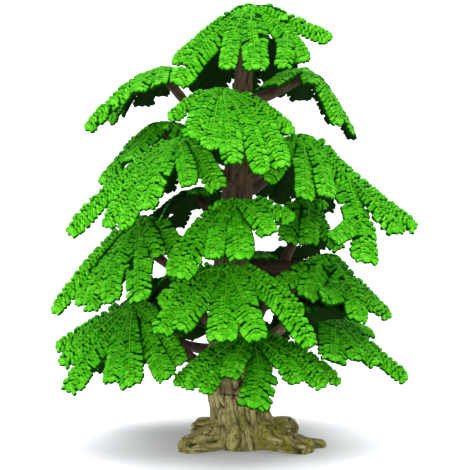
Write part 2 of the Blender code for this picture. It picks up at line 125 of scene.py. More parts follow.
def new_frond(name, knuckle, bough_foot, arch, face, parts, lean=0.9):
    """A frond from sizes in millimetres. The topmost one has no bough."""
    foot = None if bough_foot is None else bough_foot / 1000
    return Frond(name, Vector(metres(knuckle)), foot, arch, face, parts, lean)


def fingers(*rows):
    """Fingers from rows with sizes in millimetres."""
    return tuple(Finger(row[0], *metres(row[1:6]), *row[6:]) for row in rows)


def fan(middle, spread, count, reach, drop, half_width):
    """Fingers evenly from the bearing middle - spread to middle + spread, from sizes in millimetres."""
    reach, drop, half_width = metres((reach, drop, half_width))
    made = []
    for number in range(count):
        across = 2 * number / (count - 1) - 1
        longer = FAN_VARIATION * math.cos(FAN_VARIATION_STEP * number + middle)
        made.append(Finger(
            middle + spread * across,
            reach * (1 + longer),
            drop * (1 - FAN_OUTER_RISE * across * across - longer),
            half_width * (1 - FAN_OUTER_NARROWING * abs(across)),
        ))
    return tuple(made)


# The tiers from the top down, their sizes in millimetres
TIERS = {}
TIERS["top"] = (
    new_frond("top_front", (5, -8, 255.5), None, 0.6, 268, fingers(
        (188, 44, 33, 4.2, 0, -8), (222, 54, 44, 6.6, -8, -11), (254, 44, 35, 4.6, -5, -11),
        (275, 46, 35, 6.4, 1, -11), (312, 46, 31, 5.2, 7, -6), (348, 48, 19, 5, 0, -6),
        (262, 24, 17.5, 4.6, 3, 0, 4, 0.62), (337, 24, 8, 5.4))),
    new_frond("top_back", (4, 14, 246), 220, 0.6, 92, fingers(
        (36, 32, 30, 6), (62, 44, 46, 7), (90, 47, 48, 7.2), (118, 44, 45, 7), (144, 40, 42, 6.2),
        (168, 32, 31, 5.6))),
)
TIERS["upper"] = (
    new_frond("upper_left", (-45, 8, 219.5), 170, 0.55, 235, fingers(
        (180, 44.5, 36.5, 5.8, 0, -4), (214, 34, 21, 6), (244, 32, 13, 5.6), (268, 29, 9, 5),
        (150, 37, 32, 6.6), (131, 36, 28, 6.6), (112, 35, 24, 6.6), (96, 32, 18, 5.6))),
    new_frond("upper_right", (38, 12, 218.5), 200, 0.6, 15, fingers(
        (352, 28, 38, 6.6, 0, -2), (22, 31, 42, 6.6, 0, -4), (320, 25, 32, 6), (56, 36, 34, 7.2),
        (94, 36, 20, 6.6), (225, 30, 9, 6.2), (279, 20, 8, 4.6), (161, 30, 14, 5.8)), 0),
    new_frond("upper_back", (-6, 44, 194), 166, 0.7, 92, fan(95, 50, 5, 46, 40, 7.4)),
)
TIERS["second"] = (
    new_frond("second_front", (-11, -38, 209), 182, 0.9, 275, fingers(
        (206, 32, 16, 4, 0, -4), (247, 40, 25, 6.4, 1, -6), (263, 45, 31, 5.2, 0, -12),
        (278, 50, 38, 5.8, 2, -14), (296, 53, 44, 5.2, 4, -12), (312, 51, 41, 6.2, 10, -11),
        (344, 43, 24, 4.2, 0, -5))),
    new_frond("second_left_back", (-45, 16, 187), 152, 0.8, 220, fingers(
        (199, 38, 35, 6.8, 0, -12), (232, 32, 21, 6.6, -1, -10), (160, 36, 39, 7), (125, 42, 45, 6.6),
        (88, 40, 45, 6), (50, 30, 34, 5.6), (318, 28, 14, 6))),
    new_frond("second_left", (-34, -30, 181), 150, 0.45, 236, fingers(
        (166, 52, 43, 4.6), (186, 63, 54, 7, 0, -2), (212, 48, 48, 6.2), (232, 50, 48, 5), (250, 51, 36, 6),
        (278, 46, 23, 5), (305, 39, 26, 5.8))),
    new_frond("second_right", (35, -15, 182), 154, 0.1, 300, fingers(
        (359, 66, 53.5, 7, 0, -8), (287, 45, 32, 5.2, 6, 0), (271, 45, 33, 5.4, 2, 0), (232, 32, 25, 4.2),
        (320, 32, 28, 6, 0, 0, 0, 0.45), (283, 42, 46, 7.2, 6, -7, 0, 0.38),
        (239, 33, 8, 4.4, -1, -2, 5, 0.48))),
    new_frond("second_right_back", (34, 36, 173), 146, 0.5, 68, fan(74, 50, 6, 44, 42, 7.6)),
)
TIERS["third"] = (
    new_frond("third_front", (-4, -45, 147), 118, 0.8, 262, fingers(
        (209, 40, 40, 4.6, -10, -10), (230, 45, 40, 6.2, -5, -14), (256, 44, 28, 5, -3, -11),
        (275, 47, 28, 6.8, 2, -10), (298, 44, 15, 5.4), (336, 37, 10, 4.8))),
    new_frond("third_right", (40, 12, 142), 52, 0.6, 295, fingers(
        (268, 36, 22, 6), (312, 27, 26.5, 4.4, -3, -13), (244, 29, 22, 6.2), (222, 22, 14, 5),
        (120, 22, 24, 5.6), (74, 26, 32, 5.6))),
    new_frond("third_left", (-56, -10, 134), 112, 0.75, 236, fingers(
        (184, 52, 55, 5.8, 0, -13), (205, 40, 49, 5.2, -12, -16), (228, 43, 50, 6, -10, -18),
        (249, 45, 44, 5.6, -11, -18), (270, 52, 42, 6.8, -2, -16), (290, 28, 20, 5), (320, 31, 24, 5.4))),
    new_frond("third_left_back", (-56, 36, 114), 90, 0.6, 150, fan(150, 42, 5, 40, 36, 7.2)),
    new_frond("third_back", (-25, 42, 146), 118, 0.7, 120, fingers(
        (214, 29, 23, 6.4, -10, -5), (170, 34, 30, 6), (135, 20, 25, 6.2), (98, 34, 16, 6.2),
        (70, 44, 20, 6.6), (44, 32, 22, 5.6))),
)
TIERS["fourth"] = (
    new_frond("fourth_right", (50, -12, 112.5), 107, 0.2, 300, fingers(
        (0, 37, 36.2, 4.9, 0, -4), (328, 34, 30, 4.6, 10, -8), (292, 43, 33, 6, 8, 0),
        (253, 42, 20, 6, -4, -1), (242, 35, 5, 5.6, 3, -7, 2, 0.42), (210, 25, 9, 5.4, -6, 0, 3, 0.30))),
    new_frond("fourth_right_back", (42, 40, 98), 74, 0.5, 58, fan(58, 46, 5, 37, 33, 7.4)),
    new_frond("fourth_front", (-7, -48, 111), 78, 0.6, 268, fingers(
        (192, 39, 21, 4.8), (221, 49, 34, 6.2, -10, -9), (237, 48, 31, 5.6, -4, -12),
        (266, 50, 36, 7.4, 1, -12), (290, 49, 36, 6.4, -1, -8), (331, 53, 42, 5.8, 5, -1),
        (349, 43, 27, 4.5))),
    new_frond("fourth_left_back", (-40, 44, 94), 62, 0.5, 134, fan(132, 46, 5, 43, 40, 7.4)),
    new_frond("fourth_back", (12, 50, 106.5), 82, 0.8, 84, fingers(
        (10, 38, -4, 6.2, 0, -5), (40, 44, 30, 6.6), (64, 47, 35, 7.2), (88, 48, 36, 7.4),
        (111, 47, 34, 7.2), (132, 44, 30, 6.4))),
)
TIERS["low"] = (
    new_frond("low_left", (-61, -12, 85.5), 34, 0.25, 240, fingers(
        (174, 46, 27.5, 5.4, 0, -4), (197, 44, 35, 5.8, 0, -4), (221, 48, 47.5, 6.8, -5, -6),
        (257, 48, 39.5, 5.6, -3, -8), (270, 54, 40.5, 6.8, -2, -7), (293, 53, 37, 6, 1, -8),
        (309, 45, 31, 5.2))),
    new_frond("low_front", (6, -35, 68), 40, 0.7, 280, fingers(
        (198, 45, 25, 4.4, 0, -3), (217, 45, 25, 4.4), (233, 44, 26, 4.8), (254, 45, 16, 5.6),
        (270, 49, 32, 8.2, 9, -13), (311, 41, 21, 5.4), (336, 46, 25, 6), (358, 51, 26, 4.5))),
    new_frond("low_right", (55, -12, 74), 42, 0.35, 300, fingers(
        (0, 42, 34, 5.4, 0, -6), (314, 33, 22, 5.5), (287, 40, 17, 5.2), (266, 48, 16, 7.4),
        (42, 30, 9, 6.2))),
    new_frond("low_right_back", (36, 44, 76), 50, 0.5, 60, fan(62, 46, 5, 42, 30, 7.8)),
    new_frond("low_back", (-2, 52, 64), 40, 0.7, 94, fingers(
        (44, 44, 26, 6.2), (64, 46, 27, 7), (84, 46, 26, 7.2), (104, 46, 20, 7), (124, 44, 10, 6.4),
        (146, 38, 6, 5.6))),
    new_frond("low_left_back", (-44, 36, 60), 56, 0.7, 142, fingers(
        (40, 28, 4, 6.8, 0, 2), (84, 44, 24, 7), (114, 47, 27, 7.2), (142, 46, 26, 7.4), (170, 45, 25, 7.2),
        (198, 42, 21, 6.4))),
)

# Painted shade: how many tones deeper than the topmost a frond is by its knuckle, where the tier above
# shades it, and less so at its tips. Those behind the tree take the deepest green, as painted shade
PAINTED_SHADE = {
    "top_front": 0.2, "top_back": 0.8,
    "second_front": 0.2, "second_left_back": 1.7, "second_left": 0.4, "second_right": 0.1,
    "third_right": 1.4, "third_front": 0.8, "third_left": 0.35,
    "fourth_front": 0.25, "fourth_right": 1.1,
    "low_left": 0.7, "low_front": 1.4, "low_right": 1.2,
}
SHADE_BEHIND_TREE = 2.6

# Pits are small hollows in the pads, darkened by a floor in painted shade, and openings let light through
# between the leaflets. By frond, each is a centre and a radius in millimetres
PITS = {
    "top_front": ((10.2, -17.9, 250.8, 1.8), (13.4, -33.3, 238.8, 1.8)),
    "second_front": ((-3.9, -54.9, 200.7, 1.8),),
}
OPENINGS = {
    "top_front": ((-32, -34.2, 222.6, 1.6),),
    "top_back": ((18.7, 21.3, 236.7, 3),),
    "second_left_back": ((-66.5, 0.3, 163.5, 2), (-44.3, 34, 176.9, 1.6)),
    "third_left": ((-64.5, -36, 111.2, 1.9), (-63.8, -40.5, 108, 1.9)),
    "third_left_back": ((-68.8, 57, 99.7, 3.4), (-68.9, 66, 94.6, 3.4)),
    "low_right": ((43.7, -56.9, 62.1, 1.4),),
}
# A pit's floor, a dark sheet of painted shade: its size as a share of the radius, its depth and its thickness
PIT_FLOOR = 1.2
PIT_DEPTH = 0.0009
PIT_THICKNESS = 0.0005

# Finger: its line, in shares of its reach, and its blade, in shares of its length and in metres
SHOULDER = 0.50
SHOULDER_LIFT = 0.07
FULLNESS = 1.15
WAIST = 0.12
WAIST_PLACE = 0.30
WAIST_SPREAD = 0.16
TIP_START = 0.84
TIP_LENGTH = 0.17
LEAN_FULL = 85
LEAN_NONE = 125
KNUCKLE_SINK = 0.0026
PATH_STATIONS = 49
ROOM_NEAR = 0.0015

# Stubs: short fingers that close the pad round a knuckle where no long finger leaves it
STUB_STEP = 34
STUB_CLEARANCE = 27
STUB_REACH = 0.0105
STUB_DROP = 0.0030
STUB_HALF_WIDTH = 0.0040

# Boughs: their line and their taper
STEM_RADIUS = 0.0023
BOUGH_FOOT_RADIUS = 0.0042
BOUGH_SAG = 0.10
BOUGH_TAPER = 0.7
# A bough's collar at the trunk, its share and its length, and its cracks
BOUGH_COLLAR = 0.45
BOUGH_COLLAR_LENGTH = 0.12
BOUGH_CRACK_SPACING = 0.0032
BOUGH_CRACK_DEPTH = 0.0005
# How far the bark's grain moves from ring to ring, and from bough to bough
BOUGH_GRAIN_STEP = 0.0012
BOUGH_GRAIN_SHIFT = 0.07
# How far the upper trunk's brown, partly the paint's own and partly painted shade, covers a bough. One is
# # as pale as the trunk's foot, and one nearly black
BOUGH_DUSK = {"low_front": 0.0, "low_left": 0.9, "low_left_back": 1.0, "fourth_right": 1.0}
OTHER_BOUGH_DUSK = 0.5
# Painted shade: one bough deep under the fronds is darkened nearly black, as if all crack
SHADED_BOUGH = "fourth_right"
BOUGH_SHADE = 0.75

# Blades: the step between cross-sections, the fewest of them, where they begin and how far they reach along a
# finger, as shares, where they grow to full width, their least half width, their sides, and their clearance
BLADE_STEP = 0.0030
BLADE_FEWEST = 4
BLADE_START = 0.02
BLADE_REACH = 0.94
BLADE_GROWTH = (-0.004, 0.010)
BLADE_LEAST = 0.0008
BLADE_SIDES = 6
OPENING_CLEARANCE = 0.0005
# Ribs: points along one, the share of the finger where it ends, and its width by the knuckle and its taper
RIB_POINTS = 22
RIB_END = 0.92
RIB_WIDTH = 1.25
RIB_TAPER = 0.75

# Stage: the spread and turn of each light in degrees, the sky's colour, the floor, and the camera's view
KEY_SPREAD, KEY_TURN = 95, (-11, -2, 0)
FRONT_SPREAD, FRONT_TURN = 40, (78, 0, -14)
SKY_COLOUR = (0.92, 0.96, 1.0, 1)
FLOOR_SIDES = 96
CAMERA_AIM = Vector((0, 0, 0.130))
CAMERA_OFFSET = Vector((-0.0029, 0, -0.00665))
CAMERA_LENS = 184.9
CAMERA_RANGE = 200


def heading(bearing):
    angle = math.radians(bearing)
    return Vector((math.cos(angle), math.sin(angle), 0))


def apart(bearing, other):
    """The angle between two bearings, from 0 to 180 degrees."""
    return abs((bearing - other + 180) % 360 - 180)


def arc(start, middle, end, t):
    """A point on the line from start to end that bends towards the middle."""
    return start * (1 - t) ** 2 + middle * 2 * t * (1 - t) + end * t * t


def smooth_line(points, count):
    """Points read evenly from a Catmull-Rom curve through the given tuples of any length."""
    ends = [points[0], *points, points[-1]]
    spans = len(points) - 1
    read = []
    for number in range(count):
        place = number / (count - 1) * spans
        span = min(int(place), spans - 1)
        t = place - span
        row = []
        for p, q, r, s in zip(*ends[span:span + 4]):
            bend = (2 * p - 5 * q + 4 * r - s) * t * t + (3 * q - p - 3 * r + s) * t ** 3
            row.append(0.5 * (2 * q + (r - p) * t + bend))
        read.append(row)
    return read


def smooth_step(low, high, value):
    t = min(1.0, max(0.0, (value - low) / (high - low)))
    return t * t * (3 - 2 * t)


def trunk_line(height):
    """The point on the trunk's line at a height."""
    for low, high in zip(TRUNK, TRUNK[1:]):
        if height <= high[2]:
            share = (height - low[2]) / (high[2] - low[2])
            return Vector(low[:3]).lerp(Vector(high[:3]), share)
    return Vector(TRUNK[-1][:3])


def finger_face(frond, finger):
    """The way that a finger's upper face looks: up, and towards the frond's face unless it lies behind."""
    share = (LEAN_NONE - apart(finger.bearing, frond.face)) / (LEAN_NONE - LEAN_FULL)
    return (UP + heading(frond.face) * frond.lean * min(1.0, max(0.0, share))).normalized()


def finger_line(frond, finger, t):
    """A point on the finger's line: out from its start, over a shoulder, then down to the tip."""
    start = frond.knuckle
    if finger.parent is not None:
        start = finger_line(frond, frond.fingers[finger.parent], finger.fork)
    out = heading(finger.bearing)
    left = heading(finger.bearing + 90)
    rounded = finger.reach * SHOULDER_LIFT
    straight = -finger.drop * SHOULDER
    lift = frond.arch * rounded + (1 - frond.arch) * straight + finger.lift
    shoulder = start + out * finger.reach * SHOULDER + left * finger.sway + Vector((0, 0, lift))
    tip = start + out * finger.reach - Vector((0, 0, finger.drop))
    return arc(start, shoulder, tip, t)


def finger_half_width(finger, t):
    """Wide at the knuckle, waisted where fingers part, full towards the end and rounded at the tip."""
    waist = 1 - WAIST * math.exp(-(((t - WAIST_PLACE) / WAIST_SPREAD) ** 2))
    tip = math.sqrt(max(0.0, 1 - max(0.0, (t - TIP_START) / TIP_LENGTH) ** 2))
    return finger.half_width * FULLNESS * waist * tip


def bough_line(frond, count):
    """Points on the bough's line, from inside the trunk to just under the frond's knuckle."""
    foot = trunk_line(frond.bough_foot)
    top = frond.knuckle - Vector((0, 0, KNUCKLE_SINK))
    middle = foot.lerp(top, 0.5) - Vector((0, 0, BOUGH_SAG * (top - foot).length))
    return [arc(foot, middle, top, number / (count - 1)) for number in range(count)]


class FingerPath:
    """A finger's line, walked by length, with the way it runs, its side and its upper face at each place."""

    def __init__(self, frond, finger):
        self.finger = finger
        face = finger_face(frond, finger)
        self.t = np.linspace(0, 1, PATH_STATIONS)
        self.points = np.array([finger_line(frond, finger, t) for t in self.t])
        along = np.gradient(self.points, axis=0)
        along /= np.linalg.norm(along, axis=1)[:, None]
        side = np.cross(np.array(face), along)
        side /= np.linalg.norm(side, axis=1)[:, None]
        steps = np.linalg.norm(np.diff(self.points, axis=0), axis=1)
        self.lengths = np.concatenate(([0.0], np.cumsum(steps)))
        self.length = self.lengths[-1]
        self.frames = np.hstack((self.points, along, side, np.cross(along, side)))

    def at(self, place):
        """The share along the line and the four vectors there: point, along, side and over."""
        read = [np.interp(place, self.lengths, column) for column in self.frames.T]
        vectors = [Vector(read[n:n + 3]) for n in (0, 3, 6, 9)]
        return float(np.interp(place, self.lengths, self.t)), vectors


def rooms_beside(path, others, sign):
    """Half the way to the next rib on one side, at each station of a rib, or a metre if none is near."""
    rooms = []
    for row in path.frames:
        rel = others - row[:3]
        beside = rel @ (row[6:9] * sign)
        found = beside[(np.abs(rel @ row[3:6]) < ROOM_NEAR) & (beside > 0)]
        rooms.append(found.min() / 2 if len(found) else 1.0)
    return np.array(rooms)


# Leaflets: one leaflet's shape, and the heights on it where each green ends, the lower ones painted shade
LEAFLET_SEGMENTS = 8
LEAFLET_RINGS = 4
LEAFLET_BLUNTNESS = 0.62
LEAFLET_STRETCH = 0.80
LEAFLET_FULL_END = 0.20
LEAFLET_BELLY = 0.75
SHADE_BELOW_LEVEL = -0.20
SHADE_BETWEEN_LEVEL = 0.50
PAINTED_HIGHLIGHT_LEVEL = 0.70
# Greens from dark to light: the two below and between, and deep green, are painted shade; the last is a
# painted highlight
SHADE_BELOW, SHADE_BETWEEN, DEEP, SHADE, MIDDLE, BRIGHT, TIP, PAINTED_HIGHLIGHT = range(8)
ANY_TONE = -1
# The setting that holds each green, its roughness and its specular level
GREENS = (
    ("underside", 0.60, 0.0),
    ("crevice", 0.55, 0.0),
    ("deep_shade_green", 0.50, 0.04),
    ("shade_green", 0.48, 0.05),
    ("middle_green", 0.46, 0.06),
    ("bright_green", 0.44, 0.06),
    ("tip_green", 0.44, 0.06),
    ("highlight_green", 0.44, 0.08),
)
# The tone by the knuckle, its rise to the tip, partly the paint's own and partly painted light, its spread,
# and how far a frond's painted shade counts by the knuckle
FIRST_TONE = 2.8
TONE_RISE = 1.2
TONE_SPREAD = 0.6
KNUCKLE_SHADE = 1.5
# Tones of painted shade in the groove where two fingers' pads join
GROOVE_SHADE = 0.7

# Rows: the first leaflet's place on each side in pitches, where a short finger's rows begin, the room left
# for the tip, how two rows overlap, and how far a row slides towards the tip
ROW_STAGGER = ((-1, 0.75), (1, 0.25))
SHORT_START = 0.3
TIP_ROOM = 0.9
ROW_START = 0.92
ROW_END = 1.08
ROW_SLIDE = 0.45
REACH_ROUNDS = 8
# The share of the pad's fall that a leaflet takes as slope and not as bend, and its greatest half width
SLOPE_SHARE = 0.4
WIDEST = 0.70
EDGE_FULLNESS = 1.20
# How leaflets vary: ranges as shares of their sizes, and spreads
PITCH_RANGE = (0.86, 1.14)
WIDTH_RANGE = (0.92, 1.14)
LENGTH_RANGE = (0.97, 1.05)
DOME_RANGE = (0.82, 1.22)
SLIDE_SPREAD = 0.10
CURL_SPREAD = 0.09
HEIGHT_SPREAD = 0.00012
# The lobes of a finger's tip: their turns in degrees, how far the middle one stands out, and their half width
LOBE_TURNS = (-78, 78, -40, 40, 0)
MIDDLE_LOBE = 1.08
LOBE_WIDTH = 0.38
LOBE_LENGTH_RANGE = (0.96, 1.04)
LOBE_WIDTH_RANGE = (0.95, 1.08)
# The leaflets over a knuckle
KNUCKLE_LENGTH = 0.0044
KNUCKLE_HALF_WIDTH = 0.0016
KNUCKLE_START = 0.0022
KNUCKLE_DROOP = 0.0004
KNUCKLE_TURN = 22
KNUCKLE_SHARE = 0.30
KNUCKLE_RANGE = (0.90, 1.15)
KNUCKLE_DOME_RANGE = (0.90, 1.25)

Leaflet = namedtuple("Leaflet", "origin length width height bend tone")


def leaflet_template():
    """One closed leaflet from x 0 to 1, half as wide and high as 1, with its blunt end outwards."""
    bm = bmesh.new()
    bmesh.ops.create_uvsphere(bm, u_segments=LEAFLET_SEGMENTS, v_segments=LEAFLET_RINGS, radius=1.0)
    for angle, axis in ((math.pi / 2, "Y"), (math.pi / LEAFLET_SEGMENTS, "X")):
        bmesh.ops.rotate(bm, verts=bm.verts[:], cent=(0, 0, 0), matrix=Matrix.Rotation(angle, 3, axis))
    for vert in bm.verts:
        away = math.hypot(vert.co.y, vert.co.z)
        if away > 0:
            blunt = away ** (LEAFLET_BLUNTNESS - 1)
            vert.co.y *= blunt
            vert.co.z *= blunt
        share = (math.copysign(abs(vert.co.x) ** LEAFLET_STRETCH, vert.co.x) + 1) / 2
        vert.co.x = share
        vert.co.y *= 1 - LEAFLET_FULL_END * (1 - share)
        if vert.co.z < 0:
            vert.co.z *= LEAFLET_BELLY
    bmesh.ops.recalc_face_normals(bm, faces=bm.faces[:])
    bm.verts.index_update()
    verts = np.array([vert.co for vert in bm.verts])
    faces = [[vert.index for vert in face.verts] for face in bm.faces]
    heights = np.array([face.calc_center_median().z for face in bm.faces])
    bm.free()
    # Painted shade: the faces under a leaflet and on its lower sides take the dark greens below and between
    fixed = np.where(heights < SHADE_BETWEEN_LEVEL, SHADE_BETWEEN, ANY_TONE)
    fixed = np.where(heights < SHADE_BELOW_LEVEL, SHADE_BELOW, fixed)
    # The faces on top carry a painted highlight, one tone lighter
    return verts, faces, fixed, (heights > PAINTED_HIGHLIGHT_LEVEL).astype(int)


def joined_leaflets(name, leaflets):
    """One mesh of many leaflets, made from the template's arrays."""
    verts, faces, fixed, painted_highlight = leaflet_template()
    axes = np.array([[leaf.length, leaf.width, leaf.height] for leaf in leaflets])
    origins = np.array([leaf.origin for leaf in leaflets])
    bends = np.array([leaf.bend for leaf in leaflets])
    placed = np.einsum("vk,nkc->nvc", verts, axes) + origins[:, None, :]
    placed += np.square(verts[:, 0])[None, :, None] * bends[:, None, :]
    sizes = np.array([len(face) for face in faces])
    corners = np.concatenate(faces)
    first = np.concatenate(([0], np.cumsum(sizes)[:-1]))
    count = len(leaflets)
    shift = np.arange(count)[:, None]
    mesh = bpy.data.meshes.new(name)
    mesh.vertices.add(count * len(verts))
    mesh.vertices.foreach_set("co", placed.astype(np.float32).ravel())
    mesh.loops.add(count * len(corners))
    mesh.loops.foreach_set("vertex_index", (corners[None, :] + shift * len(verts)).astype(np.int32).ravel())
    mesh.polygons.add(count * len(faces))
    mesh.polygons.foreach_set("loop_start", (first[None, :] + shift * len(corners)).astype(np.int32).ravel())
    tones = np.array([leaf.tone for leaf in leaflets])[:, None]
    # Each leaflet's own tone, one tone lighter on its top as a painted highlight; its lower faces keep their
    # painted shade
    chosen = np.where(fixed == ANY_TONE, tones + painted_highlight, fixed)
    mesh.polygons.foreach_set("material_index", chosen.astype(np.int32).ravel())
    mesh.update(calc_edges=True)
    mesh.shade_smooth()
    return mesh


def laid_leaflet(origin, direction, up, tipward, length, half_width, height, tilt, bend, tone):
    """A leaflet lying along direction, its edge towards the finger's tip raised by the tilt."""
    across = up.cross(direction).normalized()
    raised = direction.cross(across).normalized()
    turn = tilt if across.dot(tipward) > 0 else -tilt
    width = across * math.cos(turn) + raised * math.sin(turn)
    rise = raised * math.cos(turn) - across * math.sin(turn)
    return Leaflet(origin, direction * length, width * half_width, rise * height, bend, tone)


def tone_at(share, draw, darker):
    """The green of a leaflet: deeper by the knuckle, brighter towards the tip, partly paint and partly
    painted light, and deeper still by a frond's painted shade.
    """
    level = FIRST_TONE + TONE_RISE * share + draw.gauss(0, TONE_SPREAD) - darker * KNUCKLE_SHADE * (1 - share)
    return (DEEP, SHADE, MIDDLE, BRIGHT, TIP)[int(min(4, max(0, level)))]


def reach_of_leaflet(path, place, opening, rooms, settings):
    """A leaflet's length up to the outline or the next rib's leaflets, and whether it meets these."""
    length = path.finger.half_width
    for _ in range(REACH_ROUNDS):
        ahead = min(place + length * math.cos(opening), path.length)
        t = float(np.interp(ahead, path.lengths, path.t))
        room = float(np.interp(ahead, path.lengths, rooms)) + settings.overlap
        web = 1 + settings.web * max(0.0, 1 - t / settings.web_end)
        outline = finger_half_width(path.finger, t) * web * settings.fill
        length = 0.5 * (length + min(room, outline) / math.sin(opening))
    return length, room < outline


def rib_leaflets(path, others, settings, draw, darker):
    """Two herringbone rows of leaflets along a rib, and more rows where the finger is wide."""
    made = []
    finger = path.finger
    tip_radius = finger.half_width * settings.tip_share
    stop = path.length - TIP_ROOM * tip_radius
    begin = min(settings.start, SHORT_START * path.length) if finger.parent is None else settings.pitch
    for sign, stagger in ROW_STAGGER:
        rooms = rooms_beside(path, others, sign)
        place = begin + settings.pitch * stagger
        while place < stop:
            t, (point, along, side, over) = path.at(place)
            uneven = draw.gauss(0, settings.unevenness)
            opening = math.radians(settings.open_angle - settings.close_angle * t + uneven)
            whole, joined = reach_of_leaflet(path, place, opening, rooms, settings)
            place += settings.pitch * draw.uniform(*PITCH_RANGE)
            if whole < settings.shortest:
                continue
            course = along * math.cos(opening) + side * sign * math.sin(opening)
            rows = 1 + int(whole > settings.two_rows) + int(whole > settings.three_rows)
            full = max(finger.half_width, whole)
            sag = settings.sag * (settings.joined_sag if joined else 1.0)
            for row in range(rows):
                last = row == rows - 1
                start = whole * row / rows * ROW_START - settings.root
                end = whole * (row + 1) / rows * (1.0 if last else ROW_END)
                length = end - start
                low = settings.crown - sag * (max(0.0, start) / full) ** 2
                fall = settings.crown - sag * (end / full) ** 2 - low
                direction = (course * length + over * fall * SLOPE_SHARE).normalized()
                slide = along * settings.pitch * (ROW_SLIDE * row + draw.gauss(0, SLIDE_SPREAD))
                half_width = 0.5 * settings.pitch * math.sin(opening) * settings.fullness
                half_width *= draw.uniform(*WIDTH_RANGE)
                curl = along * length * (settings.curl + draw.gauss(0, CURL_SPREAD))
                bend = over * fall * (1 - SLOPE_SHARE) + curl
                if last and not joined:
                    bend = bend - over * settings.edge_drop
                    half_width *= EDGE_FULLNESS
                # Painted shade deepens the rows towards a groove where two pads join
                groove = GROOVE_SHADE * (row + 1) / rows if joined else 0.0
                height = low + draw.gauss(0, HEIGHT_SPREAD)
                made.append(laid_leaflet(
                    point + course * start + over * height + slide, direction, over, along,
                    length * draw.uniform(*LENGTH_RANGE), min(half_width, WIDEST * length),
                    settings.dome * draw.uniform(*DOME_RANGE),
                    math.radians(settings.tilt + draw.gauss(0, settings.unevenness)), bend,
                    tone_at(t, draw, darker + groove),
                ))
    return made


def tip_leaflets(path, settings, draw, darker):
    """The lobes of a finger's rounded tip."""
    made = []
    radius = path.finger.half_width * settings.tip_share
    _, (point, along, _, over) = path.at(path.length - radius)
    for turn in LOBE_TURNS:
        course = Matrix.Rotation(math.radians(turn), 3, over) @ along
        length = radius * (1.0 if turn else MIDDLE_LOBE) + settings.root
        made.append(laid_leaflet(
            point - course * settings.root + over * settings.crown, course, over, along,
            length * draw.uniform(*LOBE_LENGTH_RANGE), radius * LOBE_WIDTH * draw.uniform(*LOBE_WIDTH_RANGE),
            settings.dome, 0.0, over * -settings.edge_drop, tone_at(1.0, draw, darker),
        ))
    return made


def knuckle_leaflets(paths, settings, draw, darker):
    """Small leaflets pointing outwards over the knuckle, in a sunflower's spiral, on the fingers' slope."""
    made = []
    ringed = [path for path in paths if path.finger.parent is None]
    ringed.sort(key=lambda path: path.finger.bearing % 360)
    bearings = [path.finger.bearing % 360 for path in ringed]
    for number in range(settings.knuckle_count, 0, -1):
        away = settings.knuckle_radius * math.sqrt((number - 0.5) / settings.knuckle_count)
        bearing = math.degrees(number * math.pi * (3 - math.sqrt(5))) % 360
        after = next((n for n, value in enumerate(bearings) if value > bearing), 0)
        gap = (bearings[after] - bearings[after - 1]) % 360 or 360
        share = ((bearing - bearings[after - 1]) % 360) / gap
        _, (point, along, _, over) = ringed[after - 1].at(away)
        _, (next_point, next_along, _, next_over) = ringed[after].at(away)
        up = over.lerp(next_over, share).normalized()
        out = along.lerp(next_along, share)
        out = (out - up * out.dot(up)).normalized()
        turned = Matrix.Rotation(math.radians(draw.gauss(0, KNUCKLE_TURN)), 3, up) @ out
        made.append(laid_leaflet(
            point.lerp(next_point, share) + up * settings.crown - turned * KNUCKLE_START, turned, up, turned,
            KNUCKLE_LENGTH * draw.uniform(*KNUCKLE_RANGE), KNUCKLE_HALF_WIDTH * draw.uniform(*KNUCKLE_RANGE),
            settings.dome * draw.uniform(*KNUCKLE_DOME_RANGE), 0.0, up * -KNUCKLE_DROOP,
            tone_at(KNUCKLE_SHARE, draw, darker),
        ))
    return made


def stub_fingers(frond):
    """Short fingers round the knuckle, in the bearings that no long finger takes."""
    taken = [finger.bearing for finger in frond.fingers if finger.parent is None]
    stubs = []
    for number in range(round(360 / STUB_STEP)):
        bearing = frond.face + number * STUB_STEP
        if min(apart(bearing, other) for other in taken) > STUB_CLEARANCE:
            stubs.append(Finger(bearing, STUB_REACH, STUB_DROP, STUB_HALF_WIDTH))
    return stubs


def holes(table, frond):
    """The holes that a table gives a frond, each a centre and a radius in metres."""
    for row in table.get(frond.name, ()):
        x, y, z, radius = metres(row)
        yield Vector((x, y, z)), radius


def cleared(leaflets, centre, radius):
    """The leaflets whose middle line stays clear of a place."""
    kept = []
    for leaf in leaflets:
        share = max(0.0, min(1.0, (centre - leaf.origin).dot(leaf.length) / leaf.length.length_squared))
        if (leaf.origin + leaf.length * share - centre).length > radius:
            kept.append(leaf)
    return kept


def frond_leaflets(frond, settings, seed):
    """All the leaflets of a frond, without those over its openings and pits, and its pits' floors in painted
    shade.
    """
    draw = random.Random(seed)
    # Painted shade: a frond under the tier above or behind the tree takes deeper greens
    behind = SHADE_BEHIND_TREE if frond.name.endswith("_back") else 0.0
    darker = PAINTED_SHADE.get(frond.name, behind)
    paths = [FingerPath(frond, finger) for finger in (*frond.fingers, *stub_fingers(frond))]
    made = []
    for path in paths:
        others = np.vstack([other.points for other in paths if other is not path])
        made.extend(rib_leaflets(path, others, settings, draw, darker))
        made.extend(tip_leaflets(path, settings, draw, darker))
    made.extend(knuckle_leaflets(paths, settings, draw, darker))
    for centre, radius in holes(OPENINGS, frond):
        made = cleared(made, centre, radius)
    up = (UP + heading(frond.face) * frond.lean).normalized()
    # Each pit's floor is a dark sheet in the underside's green: painted shade in the hollow
    for centre, radius in holes(PITS, frond):
        made = cleared(made, centre, radius)
        side = up.orthogonal().normalized() * radius * PIT_FLOOR
        floor = centre - side - up * PIT_DEPTH
        made.append(Leaflet(floor, side * 2, up.cross(side), up * PIT_THICKNESS, Vector(), SHADE_BELOW))
    return made


